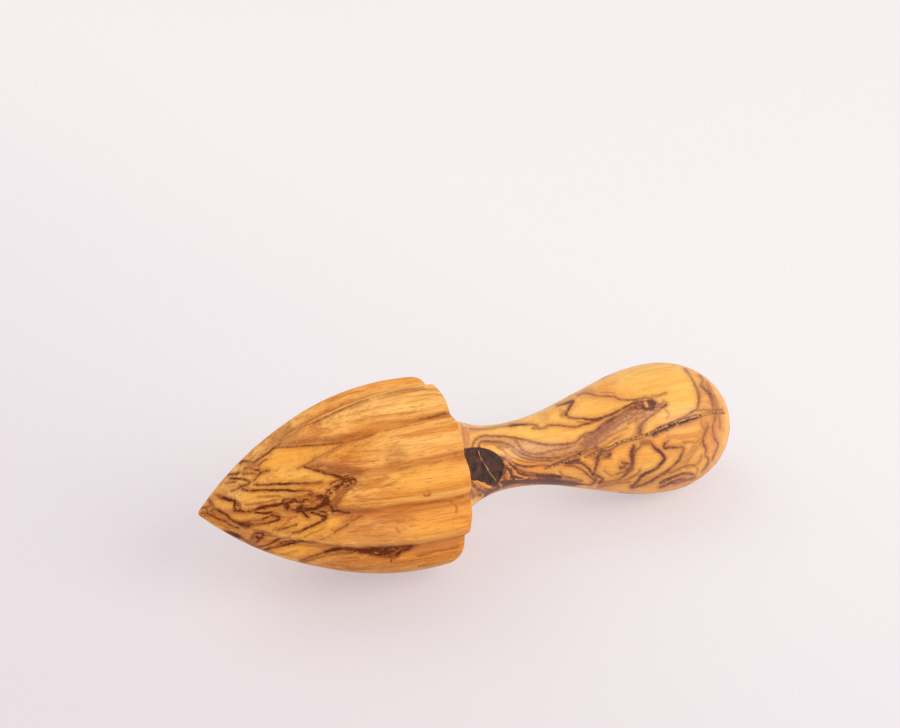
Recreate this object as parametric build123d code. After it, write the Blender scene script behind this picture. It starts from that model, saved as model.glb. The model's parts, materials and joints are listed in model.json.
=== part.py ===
from build123d import *
import math
import os

# Sizes in millimetres. Stations run along the turning axis from the tip, radii out from it.
# Angles round the axis are in degrees, from straight up towards the near side (-Y).

# The whole reamer
overall_length = 150.0

# Head: a pointed ogive of two tangent arcs, with a short heel behind its widest station
head_length = 63.0
heel_length = 8.0
heel_drop = 0.4
widest_radius = 24.8
widest_station = head_length - heel_length
belly_drop = 4.3
shoulder_station = 31.3
shoulder_radius = widest_radius - belly_drop
tip_radius = 1.0
tip_reach = 0.55
rim_radius = widest_radius - heel_drop
rim_rounding = 1.6

# Flutes: one straight V-shaped cut for each valley, its bottom line an arc in the axis plane
# that leaves the nose at these shares of the shoulder's station and radius
flute_depth = 2.9
flute_angle = 132.0
valley_arc_radius = 88.0
valley_back_radius = rim_radius - flute_depth
flute_start_share = 0.19
flute_rise_share = 0.287
# Valleys as they were cut by eye. The two crests beside the lowest one are the feet of the head.
valley_angles = (-21.0, 16.0, 47.0, 74.0, 107.5, 147.0, 180.0, 213.0, 244.0, 275.0, 306.0)

# Joint between head and handle: a round tenon glued into a blind mortise
tenon_radius = 6.0
tenon_length = 24.0
tenon_chamfer = 0.8
glue_gap = 0.1
mortise_end_gap = 1.0

# Handle: flare at the head, waist, straight swell, round bulb
foot_radius = 16.8
flare_length = 20.0
neck_radius = 8.55
neck_station = head_length + flare_length
cap_length = 20.4
bulb_radius = 17.6
bulb_station = overall_length - cap_length
swell_slope_share = 0.74
neck_arc_share = 0.53

# Dead black knot in the neck: a tapered plug that points at the axis
knot_setback = 9.0
knot_station = head_length + knot_setback
knot_angle = 63.0
knot_face_radius = 6.9
knot_root_radius = 5.0
knot_root_depth = 2.5

# Filled check across the knot. Its line holds pairs of shares of the knot's face radius,
# along the axis from the knot's middle and round towards the near side.
knot_check_width = 0.8
knot_check_depth = 1.2
knot_check_shares = ((-0.07, -0.90), (-0.04, -0.35), (0.26, 0.20), (0.70, 0.78))

# Filled check along the handle. Its line holds pairs: a share of the handle's open length
# from the head's back, and a share of the bulb's radius sideways from the check's plane.
handle_check_angle = 60.0
handle_check_width = 1.1
handle_check_depth = 1.6
handle_check_shares = ((0.29, 0.25), (0.44, 0.11), (0.61, 0.03), (0.79, -0.18), (0.95, -0.14))

# Cuts run this far past the faces that they open
overrun = 2.0

# Rest on a flat worktop: the tilt lies under this many degrees, and is halved in on this often
steepest_tilt = 20.0
tilt_halvings = 24


def turned(outline):
    """Solid turned about the axis from a half section drawn as (station, radius)."""
    return revolve(Plane.XZ * make_face(outline), axis=Axis.X)


def facing(shape, angle):
    """The shape with its top turned round the axis towards an angle."""
    return shape.rotate(Axis.X, angle)


def head_blank():
    """Turned ogive, before the flutes and the mortise."""
    widest = (widest_station, widest_radius)
    belly = TangentArc(widest, (shoulder_station, shoulder_radius), tangent=(-1, 0))
    nose = TangentArc(belly @ 1, (tip_reach, tip_radius), tangent=belly % 1)
    tip = TangentArc((0, 0), nose @ 1, tangent=(0, 1))
    heel = TangentArc(widest, (head_length, rim_radius), tangent=(1, 0))
    back = Line((head_length, rim_radius), (head_length, 0))
    axis = Line((head_length, 0), (0, 0))
    blank = turned([belly, nose, tip, heel, back, axis])
    rim = blank.edges().filter_by(GeomType.CIRCLE).sort_by(Axis.X)[-1]
    return fillet(rim, rim_rounding)


def valley_centre():
    """Centre of the valley line's arc, from its start near the tip and its end at the back."""
    start_station = flute_start_share * shoulder_station
    start_radius = flute_rise_share * shoulder_radius
    run = head_length - start_station
    rise = valley_back_radius - start_radius
    chord = math.hypot(run, rise)
    drop = math.sqrt(valley_arc_radius ** 2 - (chord / 2) ** 2)
    station = start_station + run / 2 + drop * rise / chord
    height = start_radius + rise / 2 - drop * run / chord
    return station, height


def flute_cutter():
    """V-shaped cutter swept along the valley line, facing straight up."""
    station, height = valley_centre()
    half_width = widest_radius * math.tan(math.radians(flute_angle / 2))
    bottom = height + valley_arc_radius
    top = bottom + widest_radius
    outline = Polyline((0, bottom), (half_width, top), (-half_width, top), (0, bottom))
    section = Plane.YZ * make_face(outline)
    forward = math.degrees(math.asin(station / valley_arc_radius))
    backward = math.degrees(math.asin((head_length + overrun - station) / valley_arc_radius))
    arc_axis = Axis((station, 0, height), (0, 1, 0))
    start = section.translate((station, 0, 0)).rotate(arc_axis, -forward)
    return revolve(start, axis=arc_axis, revolution_arc=forward + backward)


def reamer_head():
    """Fluted head with a blind mortise in its back."""
    cutter = flute_cutter()
    cuts = [facing(cutter, angle) for angle in valley_angles]
    depth = tenon_length + mortise_end_gap
    drill = Cylinder(tenon_radius + glue_gap, depth + overrun, rotation=(0, 90, 0))
    mortise = drill.translate((head_length - depth + (depth + overrun) / 2, 0, 0))
    return head_blank() - cuts - mortise


def swell_arcs():
    """Points where the neck's arc ends and the bulb's arc begins, with a straight between."""
    run = bulb_station - neck_station
    rise = bulb_radius - neck_radius
    slope = swell_slope_share * 2 * math.atan2(rise, run)
    radii = (run * math.sin(slope) - rise * math.cos(slope)) / (1 - math.cos(slope))
    neck_arc = neck_arc_share * radii
    bulb_arc = radii - neck_arc
    neck_end = (neck_arc * math.sin(slope), neck_arc * (1 - math.cos(slope)))
    bulb_end = (bulb_arc * math.sin(slope), bulb_arc * (1 - math.cos(slope)))
    return neck_end, bulb_end


def handle_blank(inset):
    """Turned handle without its tenon, its skin set in by the inset."""
    neck = (neck_station, neck_radius - inset)
    bulb = (bulb_station, bulb_radius - inset)
    neck_end, bulb_end = swell_arcs()
    flare = TangentArc(neck, (head_length, foot_radius - inset), tangent=(-1, 0))
    waist = TangentArc(neck, (neck[0] + neck_end[0], neck[1] + neck_end[1]), tangent=(1, 0))
    crown = TangentArc(bulb, (bulb[0] - bulb_end[0], bulb[1] - bulb_end[1]), tangent=(-1, 0))
    swell = Line(waist @ 1, crown @ 1)
    cap = EllipticalCenterArc((bulb_station, 0), cap_length - inset, bulb_radius - inset, arc_size=90)
    axis = Line((overall_length - inset, 0), (head_length, 0))
    shoulder = Line((head_length, 0), (head_length, foot_radius - inset))
    return turned([flare, waist, swell, crown, cap, axis, shoulder])


def tenon():
    """Round tenon with a chamfered end, standing out of the handle's shoulder."""
    start = head_length - tenon_length
    outline = Polyline(
        (start, 0),
        (start, tenon_radius - tenon_chamfer),
        (start + tenon_chamfer, tenon_radius),
        (head_length, tenon_radius),
        (head_length, 0),
        (start, 0),
    )
    return turned(outline)


def knot_plug():
    """Tapered plug of the knot, from near the axis out past the neck's skin."""
    height = foot_radius + overrun - knot_root_depth
    cone = Cone(knot_root_radius, knot_face_radius, height)
    standing = cone.translate((knot_station, 0, knot_root_depth + height / 2))
    return facing(standing, knot_angle)


def check_blade(points, width, angle):
    """Upright blade along a line of (station, sideways) points, pointed at both ends."""
    near = [(station, -side - width / 2) for station, side in points[1:-1]]
    far = [(station, -side + width / 2) for station, side in points[1:-1]]
    start = (points[0][0], -points[0][1])
    end = (points[-1][0], -points[-1][1])
    lens = make_face([Spline(start, *near, end), Spline(start, *far, end)])
    return facing(extrude(lens, amount=bulb_radius + overrun), angle)


def knot_check():
    """Filler of the check across the knot, as deep as the check below the skin."""
    points = [
        (knot_station + along * knot_face_radius, side * knot_face_radius)
        for along, side in knot_check_shares
    ]
    blade = check_blade(points, knot_check_width, knot_angle)
    return (blade & handle_blank(0)) - handle_blank(knot_check_depth)


def handle_check():
    """Filler of the check along the handle."""
    open_length = overall_length - head_length
    points = [
        (head_length + along * open_length, side * bulb_radius)
        for along, side in handle_check_shares
    ]
    blade = check_blade(points, handle_check_width, handle_check_angle)
    return (blade & handle_blank(0)) - handle_blank(handle_check_depth)


def neck_knot():
    """The dead knot, with the check cut out of its face."""
    return (knot_plug() & handle_blank(0)) - knot_check()


def handle():
    """Turned handle with its tenon, with the knot's hole and both checks cut out."""
    return handle_blank(0) + tenon() - knot_plug() - knot_check() - handle_check()


def lowest(shape, tilt):
    """Height of the shape's lowest point once the axis tilts down towards the handle."""
    return shape.rotate(Axis.Y, tilt).bounding_box().min.Z


def rest_tilt(front, back):
    """Tilt at which the head's crests and the bulb touch the worktop together."""
    low = 0.0
    high = steepest_tilt
    for _ in range(tilt_halvings):
        middle = (low + high) / 2
        if lowest(front, middle) < lowest(back, middle):
            low = middle
        else:
            high = middle
    return (low + high) / 2


def laid_down(pieces):
    """The pieces at rest on the worktop, with the origin under the middle of the whole."""
    tilt = rest_tilt(pieces["reamer_head"], pieces["handle"])
    tilted = {name: solid.rotate(Axis.Y, tilt) for name, solid in pieces.items()}
    box = Compound(list(tilted.values())).bounding_box()
    middle = box.center()
    print(f"tilt {tilt:.4f} degrees, tip at {-middle.X:.3f}, {-middle.Y:.3f}, {-box.min.Z:.3f}")
    return {name: solid.translate((-middle.X, -middle.Y, -box.min.Z)) for name, solid in tilted.items()}


pieces = {
    "reamer_head": reamer_head(),
    "handle": handle(),
    "neck_knot": neck_knot(),
    "knot_check_filler": knot_check(),
    "handle_check_filler": handle_check(),
}

os.makedirs("parts", exist_ok=True)
for name, solid in laid_down(pieces).items():
    export_step(solid, f"parts/{name}.step")
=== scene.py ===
"""Looks of the olive wood citrus reamer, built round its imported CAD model.

Lengths of the wood are in millimetres in the turning frame: stations run along the axis from
the tip, radii out from it, and angles go round it from straight up towards the near side.
"""

import json
import logging
import math
from dataclasses import dataclass
from enum import Enum

import bpy
import numpy as np
from mathutils import Matrix, Vector, noise


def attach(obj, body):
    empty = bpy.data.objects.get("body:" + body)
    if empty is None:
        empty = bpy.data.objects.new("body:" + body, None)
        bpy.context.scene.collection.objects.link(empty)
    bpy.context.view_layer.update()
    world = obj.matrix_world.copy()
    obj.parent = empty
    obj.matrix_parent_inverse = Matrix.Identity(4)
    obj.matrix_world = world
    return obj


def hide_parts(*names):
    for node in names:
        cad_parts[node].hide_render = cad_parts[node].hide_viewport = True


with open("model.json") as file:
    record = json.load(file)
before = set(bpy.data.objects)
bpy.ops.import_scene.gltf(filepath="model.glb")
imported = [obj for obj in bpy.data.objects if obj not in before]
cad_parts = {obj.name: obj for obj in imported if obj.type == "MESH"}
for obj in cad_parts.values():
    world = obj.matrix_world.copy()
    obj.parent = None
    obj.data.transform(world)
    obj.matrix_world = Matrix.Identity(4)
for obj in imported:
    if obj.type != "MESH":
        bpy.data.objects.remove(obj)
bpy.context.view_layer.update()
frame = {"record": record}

LOG = logging.getLogger("reamer")
MM = 0.001
PHOTO_SIZE = (900, 728)
# Seed of all noise that would otherwise differ from run to run
SEED = 7
# Lengths below this one count as none, so that nothing is divided by zero
TINY = 1e-9

Pixel = tuple[float, float]
Setting = dict[str, object]
Node = bpy.types.Node
Socket = bpy.types.NodeSocket
Tree = bpy.types.NodeTree


def linear(hex_colour: str) -> tuple[float, float, float, float]:
    """Turn an sRGB hex colour into the linear colour that a shader takes.

    Args:
        hex_colour: Six hex digits, with or without a leading mark.

    Returns:
        Linear red, green, blue and an alpha of one.
    """
    digits = hex_colour.lstrip("#")
    channels = [int(digits[i:i + 2], 16) / 255 for i in (0, 2, 4)]
    red, green, blue = [c / 12.92 if c <= 0.04045 else ((c + 0.055) / 1.055) ** 2.4 for c in channels]
    return (red, green, blue, 1.0)


def smooth(values: np.ndarray, low: float, high: float) -> np.ndarray:
    """Ease from zero at low to one at high.

    Args:
        values: The values to ease.
        low: Where the result leaves zero. It may lie above high, for a fall.
        high: Where the result reaches one.

    Returns:
        Eased values from zero to one.
    """
    share = np.clip((values - low) / (high - low), 0, 1)
    return share * share * (3 - 2 * share)


def fill(node: Node, inputs: dict[str | int, object]) -> None:
    """Set inputs of a node.

    Args:
        node: The node.
        inputs: Values, or sockets to link from, by the input's name or number.
    """
    for key, value in inputs.items():
        if isinstance(value, Socket):
            node.id_data.links.new(value, node.inputs[key])
        else:
            node.inputs[key].default_value = value


def add_node(tree: Tree, kind: str, settings: Setting | None = None,
             inputs: dict[str | int, object] | None = None) -> Node:
    """Add a node to a tree, with its settings and its inputs.

    Args:
        tree: The node tree.
        kind: The node's type name.
        settings: Properties of the node by name.
        inputs: Values, or sockets to link from, by the input's name or number.

    Returns:
        The new node.
    """
    node = tree.nodes.new(kind)
    for name, value in (settings or {}).items():
        setattr(node, name, value)
    fill(node, inputs or {})
    return node


@dataclass(frozen=True)
class Wiring:
    """Short ways to add the nodes that the trees use most, each giving its output socket."""

    tree: Tree

    def calc(self, operation: str, *terms: object, clamp: bool = False) -> Socket:
        """Add one calculation.

        Args:
            operation: The calculation's name.
            terms: Numbers, or sockets to link from.
            clamp: Whether the result stays between zero and one.

        Returns:
            Socket with the result.
        """
        settings = {"operation": operation, "use_clamp": clamp}
        return add_node(self.tree, "ShaderNodeMath", settings, dict(enumerate(terms))).outputs[0]

    def vector(self, operation: str, *terms: object) -> Socket:
        """Add one calculation with vectors.

        Args:
            operation: The calculation's name.
            terms: Vectors, or sockets to link from.

        Returns:
            Socket with the result, which is a number for a length and a dot product.
        """
        node = add_node(self.tree, "ShaderNodeVectorMath", {"operation": operation}, dict(enumerate(terms)))
        return node.outputs["Value" if operation in ("LENGTH", "DOT_PRODUCT") else "Vector"]

    def ranged(self, value: object, low: object, high: object, bottom: float = 0.0, top: float = 1.0,
               eased: bool = False) -> Socket:
        """Map a value from one range to another, held at both ends.

        Args:
            value: The value.
            low: Where the result is at its bottom. It may lie above high, for a fall.
            high: Where the result is at its top.
            bottom: The result at low.
            top: The result at high.
            eased: Whether the result eases in and out instead of running straight.

        Returns:
            Socket with the result.
        """
        settings = {"interpolation_type": "SMOOTHSTEP" if eased else "LINEAR"}
        inputs = {"Value": value, "From Min": low, "From Max": high, "To Min": bottom, "To Max": top}
        return add_node(self.tree, "ShaderNodeMapRange", settings, inputs).outputs[0]

    def mixed(self, share: Socket, under: Socket | str, over: Socket | str) -> Socket:
        """Lay one colour over another.

        Args:
            share: How much of the upper colour shows.
            under: The lower colour, as a socket or in hex.
            over: The upper colour, as a socket or in hex.

        Returns:
            Socket with the colour.
        """
        low, high = (linear(colour) if isinstance(colour, str) else colour for colour in (under, over))
        return add_node(self.tree, "ShaderNodeMix", {"data_type": "RGBA"},
                        {0: share, 6: low, 7: high}).outputs[2]

    def bump(self, height: Socket, strength: float, distance: float) -> Socket:
        """Turn a height into a shading normal.

        Args:
            height: The height.
            strength: How strongly it shows, from zero to one.
            distance: What a height of one stands for, in metres.

        Returns:
            Socket with the normal.
        """
        return add_node(self.tree, "ShaderNodeBump", None,
                        {"Strength": strength, "Distance": distance, "Height": height}).outputs[0]

    def marked(self, name: str) -> Socket:
        """Read a float attribute of the mesh in a material.

        Args:
            name: The attribute's name.

        Returns:
            Socket with the attribute's value.
        """
        return add_node(self.tree, "ShaderNodeAttribute", {"attribute_name": name}).outputs["Fac"]


def start_material(name: str) -> tuple[bpy.types.Material, Wiring]:
    """Start a node material.

    Args:
        name: Its name.

    Returns:
        The material, and the wiring of its tree.
    """
    made = bpy.data.materials.new(name)
    made.use_nodes = True
    return made, Wiring(made.node_tree)


def shader_of(made: bpy.types.Material) -> Node:
    """Find the shader of a material.

    Args:
        made: The material.

    Returns:
        Its shader node.
    """
    return made.node_tree.nodes["Principled BSDF"]


def vertex_rows(mesh: bpy.types.Mesh, what: str) -> np.ndarray:
    """Read a vector of each vertex.

    Args:
        mesh: The mesh.
        what: The vector's name, co or normal.

    Returns:
        The vectors as rows.
    """
    rows = np.empty(len(mesh.vertices) * 3)
    mesh.vertices.foreach_get(what, rows)
    return rows.reshape(-1, 3)


def store(mesh: bpy.types.Mesh, values: dict[str, np.ndarray]) -> None:
    """Store float attributes on the vertices.

    Args:
        mesh: The mesh.
        values: One value for each vertex, by the attribute's name.
    """
    for name, shares in values.items():
        attribute = mesh.attributes.new(name, "FLOAT", "POINT")
        attribute.data.foreach_set("value", shares.astype(np.float32))


@dataclass(frozen=True)
class TurningFrame:
    """The turning axis as the part lies at rest on the worktop."""

    tip: Vector
    along: Vector

    @classmethod
    def from_record(cls, record: dict) -> "TurningFrame":
        """Read the axis from the record's mount at the tip.

        Args:
            record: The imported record.

        Returns:
            The turning frame at rest.
        """
        cone = next(mount for mount in record["mounts"] if mount["name"] == "fruit_cone")
        return cls(Vector(cone["pos_m"]), -Vector(cone["axis"]).normalized())

    @property
    def tilt(self) -> float:
        """Find how far the axis falls towards the handle.

        Returns:
            The angle in radians.
        """
        return math.asin(-self.along.z)

    def matrix(self) -> Matrix:
        """Go from millimetres in the turning frame to metres in the row frame.

        Returns:
            The matrix.
        """
        return Matrix.Translation(self.tip) @ Matrix.Rotation(self.tilt, 4, "Y") @ Matrix.Scale(MM, 4)


@dataclass(frozen=True)
class PhotoCamera:
    """The photograph's camera, worked out from the outline of the object."""

    lens: float = 70.0
    sensor: float = 36.0
    azimuth: float = 24.11
    elevation: float = 33.54
    tip_pixel: Pixel = (198.46, 513.64)
    tip_depth: float = 0.42661

    def axes(self) -> tuple[Vector, Vector, Vector]:
        """Find the camera's directions.

        Returns:
            Right, down and forward as unit vectors of the row frame.
        """
        turn, fall = math.radians(self.azimuth), math.radians(self.elevation)
        ahead = Vector((math.sin(turn) * math.cos(fall), math.cos(turn) * math.cos(fall), -math.sin(fall)))
        right = Vector((math.cos(turn), -math.sin(turn), 0))
        return right, ahead.cross(right), ahead

    def focal_pixels(self) -> float:
        """Find the focal length.

        Returns:
            Focal length in pixels of the photograph.
        """
        return self.lens / self.sensor * PHOTO_SIZE[0]

    def eye(self, tip: Vector) -> Vector:
        """Where the camera stands, so that the tip is seen at its pixel.

        Args:
            tip: The reamer's tip in the row frame.

        Returns:
            The camera's place in the row frame.
        """
        right, down, ahead = self.axes()
        across = (self.tip_pixel[0] - PHOTO_SIZE[0] / 2) / self.focal_pixels()
        below = (self.tip_pixel[1] - PHOTO_SIZE[1] / 2) / self.focal_pixels()
        return tip - self.tip_depth * (across * right + below * down + ahead)

    def place(self, tip: Vector) -> bpy.types.Object:
        """Create the camera and make it the scene's camera.

        Args:
            tip: The reamer's tip in the row frame.

        Returns:
            The camera object.
        """
        data = bpy.data.cameras.new("photo_camera")
        data.lens = self.lens
        data.sensor_width = self.sensor
        data.clip_start = 0.01
        camera = bpy.data.objects.new("photo_camera", data)
        bpy.context.scene.collection.objects.link(camera)
        right, down, ahead = self.axes()
        turn = Matrix((right, -down, -ahead)).transposed().to_4x4()
        camera.matrix_world = Matrix.Translation(self.eye(tip)) @ turn
        bpy.context.scene.camera = camera
        return camera

    def pixels(self, points: np.ndarray, tip: Vector) -> np.ndarray:
        """See points of the row frame in the photograph.

        Args:
            points: Points as rows, in metres.
            tip: The reamer's tip in the row frame.

        Returns:
            Pixel coordinates as rows.
        """
        right, down, ahead = (np.array(axis) for axis in self.axes())
        offsets = points - np.array(self.eye(tip))
        depth = offsets @ ahead
        across = self.focal_pixels() * (offsets @ right) / depth + PHOTO_SIZE[0] / 2
        below = self.focal_pixels() * (offsets @ down) / depth + PHOTO_SIZE[1] / 2
        return np.column_stack((across, below))


class Tone(Enum):
    """Tones of the figure, each a float attribute on the wood's meshes. Line, umber and rose also carry
    painted shade on some flanks and valleys of the head and under the neck.
    """

    LINE = "figure_and_shade_line"
    UMBER = "figure_and_shade_umber"
    GOLD = "figure_gold"
    ROSE = "figure_and_shade_rose"
    ASH = "figure_ash"


TRACED = "figure_traced"
GROWTH = "figure_growth"
VALLEY = "valley_shade"
PIT = "pit"


@dataclass(frozen=True)
class Stroke:
    """One line of the figure, followed in the photograph, with sizes in its pixels.

    The path holds one place after another, each as pixels across and then down.
    """

    width: float
    strength: float
    path: tuple[float, ...]
    tone: Tone = Tone.LINE

    def curve(self) -> np.ndarray:
        """Run a smooth curve through the path.

        Returns:
            Points of the curve, as rows.
        """
        places = np.reshape(self.path, (-1, 2)).astype(float)
        knots = np.vstack((places[:1], places, places[-1:]))
        shares = np.linspace(0, 1, 4, endpoint=False)[:, None]
        pieces = []
        for before, start, end, after in zip(knots, knots[1:], knots[2:], knots[3:]):
            bend = 2 * before - 5 * start + 4 * end - after
            twist = 3 * start - before - 3 * end + after
            pieces.append(start + 0.5 * shares * (end - before + shares * (bend + shares * twist)))
        return np.vstack((*pieces, knots[-1:]))

    def gaps(self, pixels: np.ndarray, reach: float) -> np.ndarray:
        """Distance from the stroke's middle line to each pixel place.

        Args:
            pixels: Pixel coordinates as rows.
            reach: The distance beyond which places count as this far.

        Returns:
            The distances, none above the reach.
        """
        curve = self.curve()
        gaps = np.full(len(pixels), reach)
        near = np.all((pixels > curve.min(0) - reach) & (pixels < curve.max(0) + reach), axis=1)
        places = pixels[near]
        nearest = np.full(len(places), reach ** 2)
        for start, end in zip(curve, curve[1:]):
            run = end - start
            share = np.clip((places - start) @ run / max(run @ run, TINY), 0, 1)
            gap = places - start - share[:, None] * run
            nearest = np.minimum(nearest, np.einsum("ij,ij->i", gap, gap))
        gaps[near] = np.sqrt(nearest)
        return gaps


@dataclass(frozen=True)
class Patch:
    """One area of the figure with a soft edge, outlined in the photograph's pixels.

    The outline holds one corner after another, each as pixels across and then down.
    """

    tone: Tone
    edge: float
    strength: float
    outline: tuple[float, ...]

    def cover(self, pixels: np.ndarray) -> np.ndarray:
        """How strongly the patch covers each pixel place, from zero to one.

        Args:
            pixels: Pixel coordinates as rows.

        Returns:
            The cover of each place.
        """
        corners = np.reshape(self.outline, (-1, 2)).astype(float)
        cover = np.zeros(len(pixels))
        near = np.all((pixels > corners.min(0) - self.edge) & (pixels < corners.max(0) + self.edge), axis=1)
        places = pixels[near]
        nearest = np.full(len(places), np.inf)
        inside = np.zeros(len(places), bool)
        for start, end in zip(corners, np.roll(corners, -1, axis=0)):
            run = end - start
            offset = places - start
            share = np.clip(offset @ run / max(run @ run, TINY), 0, 1)
            gap = offset - share[:, None] * run
            nearest = np.minimum(nearest, np.einsum("ij,ij->i", gap, gap))
            crosses = (places[:, 1] < start[1]) != (places[:, 1] < end[1])
            reach = start[0] + run[0] * (places[:, 1] - start[1]) / (run[1] if run[1] else TINY)
            inside ^= crosses & (places[:, 0] < reach)
        depth = np.where(inside, 1, -1) * np.sqrt(nearest)
        cover[near] = self.strength * smooth(depth, -0.5 * self.edge, 0.5 * self.edge)
        return cover


HEAD_PATCHES = (
    # The figured nose and its yellow tongues, one on the lower part of each crest
    Patch(Tone.ROSE, 8, 0.55, (262, 526, 288, 517, 300, 519, 286, 530, 264, 539, 248, 533)),
    Patch(Tone.ROSE, 7, 0.5, (226, 530, 240, 531, 252, 530, 262, 533, 258, 545, 246, 541, 234, 536)),
    Patch(Tone.UMBER, 8, 0.4, (272, 498, 290, 494, 300, 503, 296, 516, 280, 513, 268, 506)),
    Patch(Tone.UMBER, 7, 0.4, (262, 432, 276, 424, 292, 424, 288, 434, 272, 442)),
    Patch(Tone.ROSE, 6, 0.55, (208, 500, 222, 496, 233, 503, 240, 510, 252, 521, 240, 527, 222, 520, 206,
        512)),
    Patch(Tone.UMBER, 4, 0.5, (245, 463, 256, 462, 268, 468, 258, 478, 250, 474)),
    Patch(Tone.UMBER, 8, 0.06, (196, 513, 228, 478, 262, 470, 285, 486, 322, 486, 330, 485, 352, 484, 340,
        505, 330, 518, 290, 530, 262, 560, 240, 543)),
    Patch(Tone.GOLD, 3, 0.75, (262, 452, 272, 449.5, 290, 447.5, 310, 446, 330, 444.5, 343, 442.5, 330, 451,
        315, 459, 303, 466, 297, 469, 280, 471, 262, 468)),
    Patch(Tone.GOLD, 3, 0.7, (260, 475, 285, 471, 300, 468.5, 312, 471, 325, 475, 338, 478, 335, 482, 320,
        482, 300, 482, 280, 483, 258, 483)),
    Patch(Tone.GOLD, 3, 0.7, (245, 487, 262, 487, 300, 486, 322, 485, 312, 490, 300, 489, 262, 489)),
    Patch(Tone.GOLD, 4, 0.8, (300, 533, 327, 519, 346, 516, 340, 521, 330, 529, 320, 534, 308, 540, 298,
        541)),
    Patch(Tone.GOLD, 4, 0.55, (280, 521, 300, 516, 325, 519, 300, 531, 285, 535, 266, 541, 270, 528)),
    Patch(Tone.GOLD, 3, 0.8, (214, 500, 233, 502, 233, 509, 216, 507)),
    Patch(Tone.GOLD, 3, 0.8, (230, 515, 255, 514, 268, 517, 254, 518, 240, 520, 231, 518)),
    Patch(Tone.GOLD, 3, 0.8, (241, 493, 270, 492, 283, 495, 275, 500, 245, 503)),
    Patch(Tone.GOLD, 3, 0.7, (252, 529, 275, 523, 281, 522, 268, 530, 255, 532)),
    Patch(Tone.GOLD, 3, 0.7, (266, 551, 280, 548, 300, 545, 312, 548, 300, 556, 280, 555)),
    Patch(Tone.GOLD, 10, 0.5, (390, 475, 440, 462, 466, 470, 466, 490, 430, 490, 400, 492)),
    Patch(Tone.GOLD, 8, 0.55, (405, 538, 425, 522, 462, 518, 468, 528, 440, 538, 410, 541)),
    # Pinkish-brown bands that border the tongues
    Patch(Tone.ROSE, 5, 0.55, (262, 446, 276, 437, 300, 434, 330, 438, 345, 442, 330, 443, 280, 446)),
    # Partly wood tone and partly painted shade on the flank below the second tongue, which faces away from
    # the light
    Patch(Tone.ROSE, 6, 0.75, (306, 466, 320, 460, 345, 462, 360, 470, 352, 477, 330, 474, 312, 469)),
    Patch(Tone.ROSE, 5, 0.7, (334, 505, 350, 508, 372, 509, 385, 512, 365, 514, 352, 515, 330, 516)),
    Patch(Tone.ROSE, 8, 0.35, (360, 514, 400, 510, 406, 540, 385, 546, 350, 540, 345, 528)),
    # Painted shade: the lower flank beside the lowest crest, which faces away from the light
    Patch(Tone.ROSE, 5, 0.45, (405, 553, 415, 545, 440, 541, 461, 536, 460, 548, 440, 549, 420, 553)),
    # Partly wood tone and partly painted shade on the lowest seen crest, which faces down
    Patch(Tone.ROSE, 6, 0.35, (300, 562, 330, 556, 372, 556, 400, 560, 400, 570, 350, 572, 310, 568)),
    Patch(Tone.UMBER, 9, 0.3, (262, 444, 290, 428, 316, 418, 300, 432, 282, 444)),
    Patch(Tone.UMBER, 9, 0.3, (386, 446, 400, 446, 408, 456, 400, 466, 386, 468)),
    # Partly darker wood and partly painted shade over the lowest seen crest, which faces down
    Patch(Tone.UMBER, 8, 0.32, (345, 557, 400, 560, 461, 549, 458, 558, 440, 568, 400, 574, 350, 572, 310,
        566)),
    # Partly darker wood and partly painted shade on the same flank below the second tongue
    Patch(Tone.UMBER, 6, 0.65, (303, 466, 318, 463, 345, 465, 368, 469, 360, 476, 345, 477, 325, 473.5, 312,
        470)),
    Patch(Tone.UMBER, 5, 0.5, (336, 507, 350, 506.5, 372, 507, 386, 511, 365, 514, 350, 513.5, 338, 512)),
    Patch(Tone.UMBER, 4, 0.5, (275, 446.5, 290, 441, 310, 437, 335, 435.5, 360, 433, 352, 440.5, 330, 442.5,
        307, 444, 285, 446.5)),
    # Dark masses
    Patch(Tone.UMBER, 5, 0.75, (283, 497, 300, 495, 308, 492, 322, 493, 332, 488, 345, 477, 356, 479, 352,
        488, 343, 498, 335, 512, 320, 514, 303, 515, 288, 512, 281, 504)),
    Patch(Tone.LINE, 6, 0.9, (238, 522, 244, 521, 249, 519, 254, 518.5, 252, 522, 257, 523, 254, 526, 246,
        529, 241, 527)),
    Patch(Tone.LINE, 2.5, 0.75, (234.5, 500, 241, 502, 242, 510, 236, 511.5)),
    Patch(Tone.LINE, 3.5, 0.97, (222, 528.5, 230, 530.5, 238, 533.5, 242, 536, 240, 540, 232, 537, 226, 533)),
    Patch(Tone.LINE, 2.5, 0.7, (213, 493, 220, 494, 225, 497, 223, 500, 218, 499)),
    # Partly dark figure and partly painted shadow at the bottom of the valley above the lowest crest
    Patch(Tone.LINE, 4, 0.6, (366, 548, 388, 546.5, 402, 546, 416, 544.5, 410, 547.5, 405, 551, 398, 555,
        393, 558, 388, 556, 378, 556, 368, 553)),
    Patch(Tone.UMBER, 4, 0.95, (345, 547, 370, 546, 410, 544, 420, 545, 406, 553, 394, 560, 380, 558, 350,
        553)),
    Patch(Tone.LINE, 3, 0.85, (283, 503, 289, 502, 291, 507, 287, 511, 283, 509)),
    Patch(Tone.LINE, 3, 0.85, (296, 505, 302, 504, 303, 511, 297, 513)),
    Patch(Tone.LINE, 3, 0.75, (322, 495, 325.5, 494, 328, 500, 327, 503, 323, 504, 321, 500)),
    Patch(Tone.UMBER, 3, 0.6, (250, 541, 254, 534, 262, 533, 260, 540, 254, 545)),
)

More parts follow.
